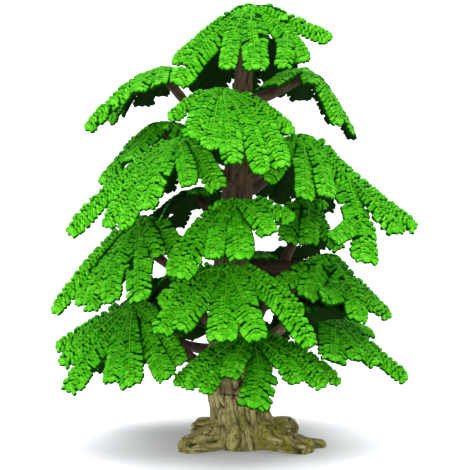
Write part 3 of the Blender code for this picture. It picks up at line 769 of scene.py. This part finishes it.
def clear_half_width(frond, point, along, side, half):
    """A blade's half width, narrowed where it would cross an opening."""
    for centre, radius in holes(OPENINGS, frond):
        rel = centre - point
        if abs(rel.dot(along)) < radius + OPENING_CLEARANCE:
            half = min(half, max(BLADE_LEAST, abs(rel.dot(side)) - radius))
    return half


def blade_sections(frond, finger, settings):
    """Flat cross-sections along a finger, a little under its line."""
    path = FingerPath(frond, finger)
    count = max(BLADE_FEWEST, round(path.length / BLADE_STEP))
    sections = []
    for number in range(count):
        place = path.length * (BLADE_START + BLADE_REACH * number / (count - 1))
        t, (point, along, side, over) = path.at(place)
        wide = settings.blade_width * smooth_step(*BLADE_GROWTH, place)
        half = max(BLADE_LEAST, finger_half_width(finger, t) * wide)
        half = clear_half_width(frond, point, along, side, half)
        middle = point - over * settings.blade_sink
        sections.append(section(middle, side, over, half, settings.blade_thickness / 2))
    return sections


def tube(bm, sections, sides):
    """A tube extruded through its cross-sections, each a matrix that carries the unit circle to its place."""
    circle = bmesh.ops.create_circle(bm, cap_ends=False, segments=sides, radius=1.0, matrix=sections[0])
    ring = circle["verts"]
    edges = list({edge for vert in ring for edge in vert.link_edges})
    made = list(ring)
    for before, after in zip(sections, sections[1:]):
        grown = bmesh.ops.extrude_edge_only(bm, edges=edges)["geom"]
        ring = [item for item in grown if isinstance(item, bmesh.types.BMVert)]
        new = set(ring)
        edges = [
            item for item in grown
            if isinstance(item, bmesh.types.BMEdge) and item.verts[0] in new and item.verts[1] in new
        ]
        bmesh.ops.transform(bm, matrix=after @ before.inverted(), verts=ring)
        made.extend(ring)
    return made


def section(point, side, over, half_width, half_height):
    """The matrix that carries the unit circle to a cross-section."""
    matrix = Matrix.Identity(4)
    matrix.col[0] = (*(side * half_width), 0)
    matrix.col[1] = (*(over * half_height), 0)
    matrix.col[2] = (*side.cross(over).normalized(), 0)
    matrix.col[3] = (*point, 1)
    return matrix


def round_sections(line, radii):
    """Round cross-sections at right angles to a line."""
    made = []
    for number, (point, radius) in enumerate(zip(line, radii)):
        before = line[max(number - 1, 0)]
        after = line[min(number + 1, len(line) - 1)]
        along = (after - before).normalized()
        side = along.cross(UP) if abs(along.z) < 0.95 else along.orthogonal()
        side.normalize()
        made.append(section(point, side, side.cross(along).normalized(), radius, radius))
    return made


def close_ends(bm):
    bmesh.ops.holes_fill(bm, edges=[edge for edge in bm.edges if edge.is_boundary], sides=0)
    bmesh.ops.recalc_face_normals(bm, faces=bm.faces[:])


def mesh_of(bm, name):
    mesh = bpy.data.meshes.new(name)
    bm.to_mesh(mesh)
    bm.free()
    mesh.shade_smooth()
    return mesh


def evaluated_mesh(obj, name):
    """The mesh that an object's modifiers or bevel make. The object itself is removed."""
    bpy.context.scene.collection.objects.link(obj)
    bpy.context.view_layer.update()
    graph = bpy.context.evaluated_depsgraph_get()
    mesh = bpy.data.meshes.new_from_object(obj.evaluated_get(graph))
    bpy.data.objects.remove(obj)
    mesh.name = name
    return mesh


def new_piece(mesh, materials, nodes):
    """An object at the origin, named as its mesh, that stands for CAD nodes and rides with the tree."""
    obj = bpy.data.objects.new(mesh.name, mesh)
    bpy.context.scene.collection.objects.link(obj)
    for look in materials:
        mesh.materials.append(look)
    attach(obj, BODY)
    if nodes:
        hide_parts(*nodes)


def frond_nodes(fronds):
    return [f"frond_{frond.name}" for frond in fronds]


# Materials

def shader_of(name):
    look = bpy.data.materials.new(name)
    look.use_nodes = True
    tree = look.node_tree
    return look, tree, tree.nodes["Principled BSDF"]


def set_inputs(tree, node, values):
    """Sets each named input of a node to a value, or links it to another node's output."""
    for name, value in values.items():
        if isinstance(value, bpy.types.NodeSocket):
            tree.links.new(value, node.inputs[name])
        else:
            node.inputs[name].default_value = value


def add_node(tree, kind, output, values=None, **settings):
    """Adds a node with its settings and inputs, and gives the named output."""
    node = tree.nodes.new("ShaderNode" + kind)
    for name, value in settings.items():
        setattr(node, name, value)
    set_inputs(tree, node, values or {})
    return node.outputs[output]


def moulded_green(name, colour, roughness, specular):
    """Satin moulded plastic: one plain green, with the fine unevenness of the mould in its gloss and bump."""
    look, tree, shader = shader_of(name)
    coords = add_node(tree, "TexCoord", "Object")
    grain = add_node(tree, "TexNoise", "Fac", {"Vector": coords, "Scale": 900, "Detail": 3})
    limits = {"To Min": roughness - 0.08, "To Max": roughness + 0.08}
    gloss = add_node(tree, "MapRange", "Result", {"Value": grain, **limits})
    bump = add_node(tree, "Bump", "Normal", {"Height": grain, "Strength": 0.35, "Distance": 0.0003})
    set_inputs(tree, shader, {
        "Base Color": (*colour, 1), "Specular IOR Level": specular, "Roughness": gloss, "Normal": bump})
    return look


def tinted(tree, factor, below, above):
    """The colour below covered by the one above as far as a factor says, each a plain colour or an output."""
    values = {"Factor": factor}
    for name, colour in (("A", below), ("B", above)):
        values[name] = colour if isinstance(colour, bpy.types.NodeSocket) else (*colour, 1)
    return add_node(tree, "Mix", "Result", values, data_type="RGBA")


def stored(tree, name):
    """What the piece stores under a name at each point of its mesh."""
    return add_node(tree, "Attribute", "Fac", attribute_name=name)


def painted_bark(name, settings, pale, deep):
    """Painted bark: streaks of two browns, moss green and a darker brown laid over them, and dark cracks. The
    darker brown is partly the paint's own and partly painted shade.
    """
    look, tree, shader = shader_of(name)
    coords = add_node(tree, "TexCoord", "Object")
    mottle = add_node(tree, "TexNoise", "Fac", {"Vector": coords, "Scale": 420, "Detail": 4})
    streaks = add_node(tree, "Math", "Value", {0: stored(tree, "streak"), 1: mottle}, operation="ADD")
    share = add_node(tree, "MapRange", "Result", {"Value": streaks, "From Min": 0.55, "From Max": 1.40})
    colour = tinted(tree, share, deep, pale)
    for wash, paint in (("moss", settings.moss), ("dusk", settings.dusk), ("furrow", settings.furrow)):
        colour = tinted(tree, stored(tree, wash), colour, paint)
    fibres = add_node(tree, "TexNoise", "Fac", {"Vector": coords, "Scale": 700, "Detail": 3})
    bump = add_node(tree, "Bump", "Normal", {"Height": fibres, "Strength": 0.6, "Distance": 0.0005})
    gloss = add_node(tree, "MapRange", "Result", {"Value": fibres, "To Min": 0.52, "To Max": 0.72})
    set_inputs(tree, shader, {
        "Base Color": colour, "Normal": bump, "Roughness": gloss, "Specular IOR Level": 0.12})
    return look


# Bark relief

# The noise that moves the cracks aside is seeded, so that each run gives the same bark
DRIFT_SEED = 1
# Cracks: how far they drift aside and over what length, how far they stretch along the grain, and the width,
# fineness and share of the main ones, of the hairs between them and of the faint ones that cross them
CRACK_DRIFT = 0.30
DRIFT_LENGTH = 1.7
CRACK_STRETCH = 0.16
CRACK_WIDTH = 0.105
HAIR_WIDTH, HAIR_FINENESS, HAIR_SHARE = 0.085, 2.2, 0.62
CROSS_WIDTH, CROSS_FINENESS, CROSS_SHARE = 0.10, 0.8, 0.55
PILLOW_WIDTH = 0.35
RELIEF_SHARE = 0.8
STREAK_MIDDLE, STREAK_SPREAD, STREAK_FINENESS = 0.5, 0.9, 1.3
# Where the grain bends from the trunk into the roots, outwards and upwards, and how steeply
ROOT_BLEND = (0.015, 0.026)
ROOT_TOP = (0.022, 0.034)
GRAIN_RISE = 1.2
# The seam where a moulded panel of bark ends on the trunk's front: its left and right end, its height, its
# width, its soft edge, and how far above it the panel's darker bark fades
SEAM_LEFT, SEAM_RIGHT, SEAM_HEIGHT = -0.0113, 0.0010, 0.0320
SEAM_WIDTH = 0.0005
SEAM_EDGE = 0.0004
PANEL_FADE = (0.005, 0.008)
# The trunk's and the roots' rings and sides, the roots' blunt ends, and the smoothing of the skin
TRUNK_RINGS, TRUNK_SIDES = 90, 64
ROOT_RINGS, ROOT_SIDES = 26, 32
BLUNT_LENGTH, BLUNTING = 0.55, 0.22
SMOOTH_ROUNDS, SMOOTH_FACTOR = 12, 0.5
# Where the relief fades up the trunk and what is left of it
RELIEF_FADE = (0.07, 0.20)
RELIEF_LEFT = 0.45
# Where moss covers the roots, how patchy it is, and how strong on the left and further right
MOSS_TOP = (0.010, 0.030)
MOSS_RIGHT = (-0.010, 0.022)
MOSS_PATCHES = 110
MOSS_EDGE = 0.25
MOSS_LEAST, MOSS_MORE = 0.25, 0.60
# Where the upper trunk's darker brown sets in, partly the paint's own and partly painted shade under the
# # crown, how strong a first breath of it and the panel's are, and its streaks
DUSK_RISE = (0.045, 0.130)
FIRST_DUSK_RISE = (0.030, 0.036)
FIRST_DUSK = 0.25
PANEL_DUSK = 0.55
DUSK_LEAST, DUSK_STREAKS = 0.86, 0.14


def cracks_at(place, spacing, depth):
    """How cracked the bark is, from 0 to 1, how far it rises, and its streak, with the grain along z."""
    drift = noise.noise_vector(place / (spacing * DRIFT_LENGTH)) * spacing * CRACK_DRIFT
    drift.z = 0
    cell = (place + drift) / spacing
    cell.z *= CRACK_STRETCH
    line = abs(noise.noise(cell))
    hair = abs(noise.noise(cell * HAIR_FINENESS + Vector((3.1, 7.7, 5.3))))
    near = noise.voronoi(cell * CROSS_FINENESS + Vector((5.5, 1.2, 0.7)))[0]
    cracked = max(
        1 - smooth_step(0.0, CRACK_WIDTH, line),
        HAIR_SHARE * (1 - smooth_step(0.0, HAIR_WIDTH, hair)),
        CROSS_SHARE * (1 - smooth_step(0.0, CROSS_WIDTH, near[1] - near[0])),
    )
    pillow = smooth_step(0.0, PILLOW_WIDTH, line)
    streak = STREAK_MIDDLE + STREAK_SPREAD * noise.noise(cell * STREAK_FINENESS + Vector((1.7, 0.3, 8.9)))
    return cracked, depth * (RELIEF_SHARE * pillow - RELIEF_SHARE * cracked), streak


def grain_place(point):
    """Where a point lies in straight-grained wood: the trunk's grain bends out into each root."""
    centre = trunk_line(point.z)
    rel = point - Vector((centre.x, centre.y, 0))
    blend = smooth_step(*ROOT_BLEND, math.hypot(rel.x, rel.y)) * (1 - smooth_step(*ROOT_TOP, point.z))
    if blend == 0:
        return rel
    bearing = math.degrees(math.atan2(rel.y, rel.x))
    root = min(ROOTS, key=lambda item: apart(bearing, item.bearing))
    out = heading(root.bearing)
    left = heading(root.bearing + 90)
    bent = left * rel.dot(left) + out * (ROOT_BLEND[0] + point.z * GRAIN_RISE)
    bent.z = ROOT_BLEND[0] - rel.dot(out)
    return rel.lerp(bent, blend)


def seam_at(point):
    """How much of the panel's seam lies at a point, and how much of the darker bark above it."""
    if point.y > 0:
        return 0.0, 0.0
    across = smooth_step(SEAM_LEFT - SEAM_EDGE, SEAM_LEFT + SEAM_EDGE, point.x)
    across *= 1 - smooth_step(SEAM_RIGHT - SEAM_EDGE, SEAM_RIGHT + SEAM_EDGE, point.x)
    flat = across * math.exp(-(((point.z - SEAM_HEIGHT) / SEAM_WIDTH) ** 2))
    above = smooth_step(SEAM_HEIGHT - SEAM_EDGE, SEAM_HEIGHT + SEAM_EDGE, point.z)
    above *= 1 - smooth_step(SEAM_HEIGHT + PANEL_FADE[0], SEAM_HEIGHT + PANEL_FADE[1], point.z)
    upright = above * math.exp(-(((point.x - SEAM_LEFT) / SEAM_WIDTH) ** 2))
    return max(flat, upright), above * across


def washes_at(place, streak, panel):
    """How far moss and the upper trunk's brown, partly painted shade, cover a point of the trunk."""
    right = smooth_step(*MOSS_RIGHT, place.x)
    patch = smooth_step(-MOSS_EDGE, MOSS_EDGE, noise.noise(place * MOSS_PATCHES))
    moss = (1 - smooth_step(*MOSS_TOP, place.z)) * (MOSS_LEAST + MOSS_MORE * right) * patch
    first = FIRST_DUSK * smooth_step(*FIRST_DUSK_RISE, place.z)
    dusk = max(smooth_step(*DUSK_RISE, place.z), PANEL_DUSK * panel, first)
    return moss, dusk * (DUSK_LEAST + DUSK_STREAKS * streak)


def store_bark(mesh, rows):
    """Stores each point's crack, streak, moss and dusk, which the bark's colours read."""
    for name, values in zip(("furrow", "streak", "moss", "dusk"), zip(*rows)):
        attribute = mesh.attributes.new(name, "FLOAT", "POINT")
        attribute.data.foreach_set("value", np.array(values, np.float32))


def root_line(root):
    """A root's line and radii, from inside the trunk's foot to its blunt end."""
    foot = Vector((TRUNK[0][0], TRUNK[0][1], 0))
    out = heading(root.bearing)
    line = []
    radii = []
    for number in range(ROOT_RINGS):
        share = number / (ROOT_RINGS - 1)
        away = ROOT_START + (root.reach - ROOT_START) * share
        height = root.end_height + (root.collar_height - root.end_height) * (1 - share) ** ROOT_DROOP
        radius = root.collar_radius + (root.end_radius - root.collar_radius) * share
        blunt = max(0.0, 1 - (root.reach - away) / (BLUNT_LENGTH * root.end_radius))
        line.append(foot + out * away + Vector((0, 0, height)))
        radii.append(radius * (1 - BLUNTING * blunt * blunt))
    return line, radii


def trunk_skin(grain):
    """The fluted trunk and its roots, grown together into one even skin."""
    bm = bmesh.new()
    sections = []
    for x, y, z, radius in smooth_line(TRUNK, TRUNK_RINGS):
        sections.append(section(Vector((x, y, z)), Vector((1, 0, 0)), Vector((0, 1, 0)), radius, radius))
    for vert in tube(bm, sections, TRUNK_SIDES):
        centre = trunk_line(vert.co.z)
        out = Vector((vert.co.x - centre.x, vert.co.y - centre.y, 0))
        flute = FLUTE_DEPTH * max(0.0, 1 - vert.co.z / FLUTE_TOP)
        vert.co = vert.co + out * flute * math.cos(FLUTES * math.atan2(out.y, out.x))
    for root in ROOTS:
        tube(bm, round_sections(*root_line(root)), ROOT_SIDES)
    close_ends(bm)
    skin = bpy.data.objects.new("trunk_skin", mesh_of(bm, "trunk_skin"))
    remesh = skin.modifiers.new("skin", "REMESH")
    remesh.mode = "VOXEL"
    remesh.voxel_size = grain
    even = skin.modifiers.new("even", "SMOOTH")
    even.iterations = SMOOTH_ROUNDS
    even.factor = SMOOTH_FACTOR
    return evaluated_mesh(skin, "trunk_and_roots")


def add_bough(bm, frond, seed, settings):
    """Adds a bough to a mesh, and gives the crack, streak, moss and dusk of each of its points."""
    line = bough_line(frond, settings.limb_rings)
    radii = []
    for number in range(settings.limb_rings):
        share = number / (settings.limb_rings - 1)
        radius = BOUGH_FOOT_RADIUS + (STEM_RADIUS - BOUGH_FOOT_RADIUS) * share ** BOUGH_TAPER
        radii.append(radius * (1 + BOUGH_COLLAR * math.exp(-share / BOUGH_COLLAR_LENGTH)))
    dusk = BOUGH_DUSK.get(frond.name, OTHER_BOUGH_DUSK)
    rows = []
    for number, vert in enumerate(tube(bm, round_sections(line, radii), settings.limb_sides)):
        ring = number // settings.limb_sides
        out = vert.co - line[ring]
        grain = Vector((out.x, out.y + BOUGH_GRAIN_SHIFT * seed, ring * BOUGH_GRAIN_STEP + out.z))
        furrow, rise, streak = cracks_at(grain, BOUGH_CRACK_SPACING, BOUGH_CRACK_DEPTH)
        vert.co = vert.co + out.normalized() * rise
        # Painted shade: the bough under the fronds takes at least this much of the cracks' dark brown
        if frond.name == SHADED_BOUGH:
            furrow = max(furrow, BOUGH_SHADE)
        rows.append((furrow, streak, 0.0, dusk))
    return rows


# Settings

def length_setting(name, description, default):
    return FloatProperty(name=name, description=description, default=default, unit="LENGTH")


def plain_setting(name, description, default):
    return FloatProperty(name=name, description=description, default=default)


def colour_setting(name, description, *default):
    return FloatVectorProperty(name=name, description=description, default=default, subtype="COLOR")


class LeafletSettings(bpy.types.PropertyGroup):
    """Sizes and greens of the leaflets."""
    pitch: length_setting("Pitch", "Step from leaflet to leaflet along a rib", 0.00235)
    start: length_setting("Start", "Where the leaflets begin along a rib", 0.0070)
    shortest: length_setting("Shortest", "Least reach of a leaflet", 0.0014)
    overlap: length_setting("Overlap", "How far leaflets of two ribs overlap", 0.0014)
    two_rows: length_setting("Two rows", "Reach past which a side has two rows", 0.0050)
    three_rows: length_setting("Three rows", "Reach past which a side has three rows", 0.0086)
    fill: plain_setting("Fill", "Reach of the leaflets as a share of the finger's half width", 1.06)
    unevenness: plain_setting("Unevenness", "Spread of the leaflets' angles, in degrees", 6.0)
    root: length_setting("Root", "How far a leaflet starts behind its rib", 0.0007)
    edge_drop: length_setting("Edge drop", "How far the outermost leaflets' ends bend down", 0.0002)
    crown: length_setting("Crown", "Height of the pad over the rib's line", 0.0005)
    sag: length_setting("Sag", "How far the pad's edge lies below its crown", 0.0012)
    joined_sag: plain_setting("Joined sag", "Share of that where two fingers' pads join", 0.75)
    dome: length_setting("Dome", "Height of one leaflet's dome", 0.0015)
    fullness: plain_setting("Fullness", "Width of a leaflet as a share of the pitch", 1.20)
    curl: plain_setting("Curl", "How far a leaflet curves towards the tip, as a share", 0.06)
    web: plain_setting("Web", "Extra width of the pad at the knuckle", 0.60)
    web_end: plain_setting("Web end", "Share of a finger's length where the web ends", 0.66)
    open_angle: plain_setting("Opening", "Angle from rib to leaflet by the knuckle, in degrees", 86.0)
    close_angle: plain_setting("Closing", "How much that angle narrows by the tip, in degrees", 20.0)
    tilt: plain_setting("Tilt", "How far each leaflet's lower edge is raised, in degrees", 12.0)
    tip_share: plain_setting("Tip", "Radius of the rounded tip as a share of the finger's half width", 0.62)
    knuckle_count: IntProperty(name="Knuckle leaflets", description="Leaflets over a knuckle", default=46)
    knuckle_radius: length_setting("Knuckle radius", "How far they spread", 0.0114)
    # Painted shade under the leaflets, on the blades' lower faces and on the pits' floors
    underside: colour_setting("Underside", "Green under the leaflets", 0.010, 0.030, 0.006)
    # Painted shade between the leaflets and on the blades' upper faces
    crevice: colour_setting("Crevices", "Green between the leaflets", 0.003, 0.050, 0.0005)
    # Painted shade on leaflets under the tier above and behind the tree
    deep_shade_green: colour_setting("Deep green", "Leaflets in the shade", 0.010, 0.110, 0.0005)
    shade_green: colour_setting("Shade green", "Leaflets by the knuckle", 0.019, 0.185, 0.0005)
    middle_green: colour_setting("Middle green", "Most leaflets", 0.030, 0.270, 0.001)
    bright_green: colour_setting("Bright green", "Outer leaflets", 0.044, 0.345, 0.002)
    tip_green: colour_setting("Tip green", "Leaflets at the tips", 0.068, 0.430, 0.005)
    # A painted highlight on the top of each leaflet
    highlight_green: colour_setting("Crest green", "Crests of those leaflets", 0.115, 0.520, 0.016)


class RibSettings(bpy.types.PropertyGroup):
    """Sizes and colour of the ribs, and sizes of the blades under the leaflets."""
    radius: length_setting("Radius", "Radius of a rib", 0.00040)
    start: length_setting("Start", "Where a rib begins, from the knuckle", 0.0085)
    height: length_setting("Height", "Height of a rib over the finger's line", 0.0016)
    colour: colour_setting("Rib green", "Colour of the ribs", 0.085, 0.380, 0.006)
    blade_width: plain_setting("Blade width", "Width of the blade under the leaflets, as a share", 0.90)
    blade_sink: length_setting("Blade sink", "How far the blade lies under the finger's line", 0.0007)
    blade_thickness: length_setting("Blade thickness", "Thickness of that blade", 0.0011)


class BarkSettings(bpy.types.PropertyGroup):
    """Relief and colours of the bark."""
    grain: length_setting("Grain", "Mesh size of the trunk", 0.00061)
    spacing: length_setting("Crack spacing", "Spacing of the trunk's cracks", 0.0041)
    depth: length_setting("Crack depth", "Depth of the trunk's cracks", 0.0011)
    pale: colour_setting("Pale streaks", "Tan of the trunk and roots", 0.490, 0.410, 0.170)
    deep: colour_setting("Deep streaks", "Olive of the trunk and roots", 0.145, 0.138, 0.038)
    furrow: colour_setting("Cracks", "Dark brown in the cracks", 0.016, 0.011, 0.004)
    moss: colour_setting("Moss", "Wash on the roots", 0.240, 0.235, 0.030)
    # Partly the paint's own brown and partly painted shade under the crown
    dusk: colour_setting("Upper trunk", "Brown of the upper trunk", 0.052, 0.030, 0.018)
    limb_pale: colour_setting("Bough streaks", "Lighter brown of the boughs", 0.120, 0.072, 0.040)
    limb_deep: colour_setting("Boughs", "Dark brown of the boughs", 0.028, 0.017, 0.010)
    limb_sides: IntProperty(name="Bough sides", description="Sides of a bough", default=20)
    limb_rings: IntProperty(name="Bough rings", description="Rings along a bough", default=40)


class StageSettings(bpy.types.PropertyGroup):
    """Floor, lights and camera."""
    floor_radius: length_setting("Floor radius", "Radius of the floor", 60.0)
    floor: colour_setting("Floor", "Colour of the floor", 0.93, 0.935, 0.95)
    key: plain_setting("Key light", "Strength of the light from above", 4.1)
    front: plain_setting("Front light", "Strength of the light from the front", 1.9)
    sky: plain_setting("Sky", "Strength of the light from all round", 0.55)
    distance: length_setting("Camera distance", "From the camera to the tree", 1.4)
    elevation: FloatProperty(
        name="Camera elevation", description="How far the camera looks down", default=math.radians(6),
        subtype="ANGLE")


class TreeSettings(bpy.types.PropertyGroup):
    leaflets: PointerProperty(type=LeafletSettings)
    ribs: PointerProperty(type=RibSettings)
    bark: PointerProperty(type=BarkSettings)
    stage: PointerProperty(type=StageSettings)


# Operators

class TREE_OT_leaflets(bpy.types.Operator):
    """Model the leaflets of every frond, one piece for each tier."""
    bl_idname = "tree.leaflets"
    bl_label = "Leaflets"

    def execute(self, context):
        settings = context.scene.model_tree.leaflets
        greens = [
            moulded_green(f"leaf_{tone}", getattr(settings, tone), roughness, specular)
            for tone, roughness, specular in GREENS
        ]
        for number, (tier, fronds) in enumerate(TIERS.items()):
            made = []
            for place, frond in enumerate(fronds):
                made.extend(frond_leaflets(frond, settings, 100 * number + place))
            mesh = joined_leaflets(f"{tier}_leaflets", made)
            new_piece(mesh, greens, frond_nodes(fronds))
        return {"FINISHED"}


class TREE_OT_blades(bpy.types.Operator):
    """Model the thin blade under each finger's leaflets."""
    bl_idname = "tree.blades"
    bl_label = "Blades"

    def execute(self, context):
        settings = context.scene.model_tree.ribs
        looks = [bpy.data.materials["leaf_underside"], bpy.data.materials["leaf_crevice"]]
        for tier, fronds in TIERS.items():
            bm = bmesh.new()
            for frond in fronds:
                for finger in frond.fingers:
                    tube(bm, blade_sections(frond, finger, settings), BLADE_SIDES)
            close_ends(bm)
            mesh = mesh_of(bm, f"{tier}_blades")
            # Painted shade: faces looking down take the underside's dark green, those looking up the darker
            # green between leaflets
            for face in mesh.polygons:
                face.material_index = int(face.normal.z > 0)
            new_piece(mesh, looks, frond_nodes(fronds))
        return {"FINISHED"}


class TREE_OT_ribs(bpy.types.Operator):
    """Model the raised rib along each finger as a bevelled curve."""
    bl_idname = "tree.ribs"
    bl_label = "Ribs"

    def execute(self, context):
        settings = context.scene.model_tree.ribs
        green = moulded_green("rib_green", settings.colour, 0.5, 0.05)
        for tier, fronds in TIERS.items():
            curve = bpy.data.curves.new(f"{tier}_ribs", "CURVE")
            curve.dimensions = "3D"
            curve.bevel_depth = settings.radius
            curve.bevel_resolution = 1
            curve.use_fill_caps = True
            for frond in fronds:
                for finger in frond.fingers:
                    path = FingerPath(frond, finger)
                    begin = 0.0 if finger.parent is not None else settings.start / path.length
                    spline = curve.splines.new("POLY")
                    spline.points.add(RIB_POINTS - 1)
                    for number, knot in enumerate(spline.points):
                        share = begin + (RIB_END - begin) * number / (RIB_POINTS - 1)
                        _, (point, _, _, over) = path.at(path.length * share)
                        knot.co = (*(point + over * settings.height), 1)
                        knot.radius = RIB_WIDTH - RIB_TAPER * share
            mesh = evaluated_mesh(bpy.data.objects.new(f"{tier}_rib_curves", curve), f"{tier}_ribs")
            mesh.materials.clear()
            mesh.shade_smooth()
            new_piece(mesh, [green], [])
        return {"FINISHED"}


class TREE_OT_boughs(bpy.types.Operator):
    """Model the boughs with their bark."""
    bl_idname = "tree.boughs"
    bl_label = "Boughs"

    def execute(self, context):
        settings = context.scene.model_tree.bark
        noise.seed_set(DRIFT_SEED)
        dark = painted_bark("upper_bough_bark", settings, settings.limb_pale, settings.limb_deep)
        tan = painted_bark("low_bough_bark", settings, settings.pale, settings.deep)
        upper = [frond for tier, fronds in TIERS.items() if tier != "low" for frond in fronds]
        for name, look, fronds in (("upper_boughs", dark, upper), ("lower_boughs", tan, TIERS["low"])):
            bm = bmesh.new()
            rows = []
            nodes = []
            for seed, frond in enumerate(fronds):
                if frond.bough_foot is not None:
                    rows.extend(add_bough(bm, frond, seed, settings))
                    nodes.append(f"bough_{frond.name}")
            close_ends(bm)
            mesh = mesh_of(bm, name)
            store_bark(mesh, rows)
            new_piece(mesh, [look], nodes)
        return {"FINISHED"}


class TREE_OT_trunk(bpy.types.Operator):
    """Model the trunk and its roots as one skin with the bark's relief."""
    bl_idname = "tree.trunk"
    bl_label = "Trunk"

    def execute(self, context):
        settings = context.scene.model_tree.bark
        noise.seed_set(DRIFT_SEED)
        look = painted_bark("trunk_bark", settings, settings.pale, settings.deep)
        mesh = trunk_skin(settings.grain)
        normals = [vert.normal.copy() for vert in mesh.vertices]
        rows = []
        for vert, normal in zip(mesh.vertices, normals):
            place = vert.co.copy()
            furrow, rise, streak = cracks_at(grain_place(place), settings.spacing, settings.depth)
            seam, panel = seam_at(place)
            relief = RELIEF_LEFT + (1 - RELIEF_LEFT) * (1 - smooth_step(*RELIEF_FADE, place.z))
            moved = place + normal * (rise * relief - seam * settings.depth)
            moved.z = max(0.0, moved.z)
            vert.co = moved
            rows.append((max(furrow, seam), streak, *washes_at(place, streak, panel)))
        mesh.update()
        mesh.shade_smooth()
        store_bark(mesh, rows)
        new_piece(mesh, [look], ["trunk"])
        return {"FINISHED"}


class TREE_OT_stage(bpy.types.Operator):
    """Set the floor, the soft studio light and the camera."""
    bl_idname = "tree.stage"
    bl_label = "Stage"

    def execute(self, context):
        scene = context.scene
        settings = scene.model_tree.stage
        bm = bmesh.new()
        bmesh.ops.create_circle(bm, cap_ends=True, segments=FLOOR_SIDES, radius=settings.floor_radius)
        floor = bpy.data.objects.new("floor", mesh_of(bm, "floor"))
        scene.collection.objects.link(floor)
        look, tree, shader = shader_of("pale_floor")
        set_inputs(tree, shader, {
            "Base Color": (*settings.floor, 1), "Roughness": 0.9, "Specular IOR Level": 0.1})
        floor.data.materials.append(look)
        for name, strength, spread, turn in (
            ("key_light", settings.key, KEY_SPREAD, KEY_TURN),
            ("front_light", settings.front, FRONT_SPREAD, FRONT_TURN),
        ):
            light = bpy.data.lights.new(name, "SUN")
            light.energy = strength
            light.angle = math.radians(spread)
            lamp = bpy.data.objects.new(name, light)
            lamp.rotation_euler = [math.radians(a) for a in turn]
            scene.collection.objects.link(lamp)
        world = bpy.data.worlds.new("studio")
        scene.world = world
        world.use_nodes = True
        tree = world.node_tree
        sky = tree.nodes["Background"]
        set_inputs(tree, sky, {"Color": SKY_COLOUR, "Strength": settings.sky})
        backdrop = add_node(tree, "Background", "Background", {"Color": (1, 1, 1, 1)})
        seen = add_node(tree, "LightPath", "Is Camera Ray")
        mixed = {"Fac": seen, 1: sky.outputs["Background"], 2: backdrop}
        surface = add_node(tree, "MixShader", "Shader", mixed)
        set_inputs(tree, tree.nodes["World Output"], {"Surface": surface})
        camera_data = bpy.data.cameras.new("camera")
        camera_data.lens = CAMERA_LENS
        camera_data.clip_end = CAMERA_RANGE
        camera = bpy.data.objects.new("camera", camera_data)
        back = Vector((0, -math.cos(settings.elevation), math.sin(settings.elevation)))
        camera.location = CAMERA_AIM + back * settings.distance
        view = CAMERA_AIM + CAMERA_OFFSET - camera.location
        camera.rotation_euler = view.to_track_quat("-Z", "Y").to_euler()
        scene.collection.objects.link(camera)
        scene.camera = camera
        scene.view_settings.view_transform = "Standard"
        return {"FINISHED"}


class VIEW3D_PT_model_tree(bpy.types.Panel):
    """Lists the pieces of the tree in the sidebar."""
    bl_label = "Model Tree"
    bl_space_type = "VIEW_3D"
    bl_region_type = "UI"
    bl_category = "Model Tree"

    def draw(self, context):
        for operator in PIECES:
            self.layout.operator(operator.bl_idname)
        for group in ("leaflets", "ribs", "bark", "stage"):
            box = self.layout.box()
            settings = getattr(context.scene.model_tree, group)
            for name in settings.__annotations__:
                box.prop(settings, name)


PIECES = (TREE_OT_leaflets, TREE_OT_blades, TREE_OT_ribs, TREE_OT_boughs, TREE_OT_trunk, TREE_OT_stage)
CLASSES = (
    LeafletSettings, RibSettings, BarkSettings, StageSettings, TreeSettings, *PIECES, VIEW3D_PT_model_tree,
)


def register():
    for cls in CLASSES:
        bpy.utils.register_class(cls)
    bpy.types.Scene.model_tree = PointerProperty(type=TreeSettings)


def unregister():
    del bpy.types.Scene.model_tree
    for cls in reversed(CLASSES):
        bpy.utils.unregister_class(cls)


def main():
    register()
    bpy.ops.tree.leaflets()
    bpy.ops.tree.blades()
    bpy.ops.tree.ribs()
    bpy.ops.tree.boughs()
    bpy.ops.tree.trunk()
    bpy.ops.tree.stage()


if __name__ == "__main__":
    main()
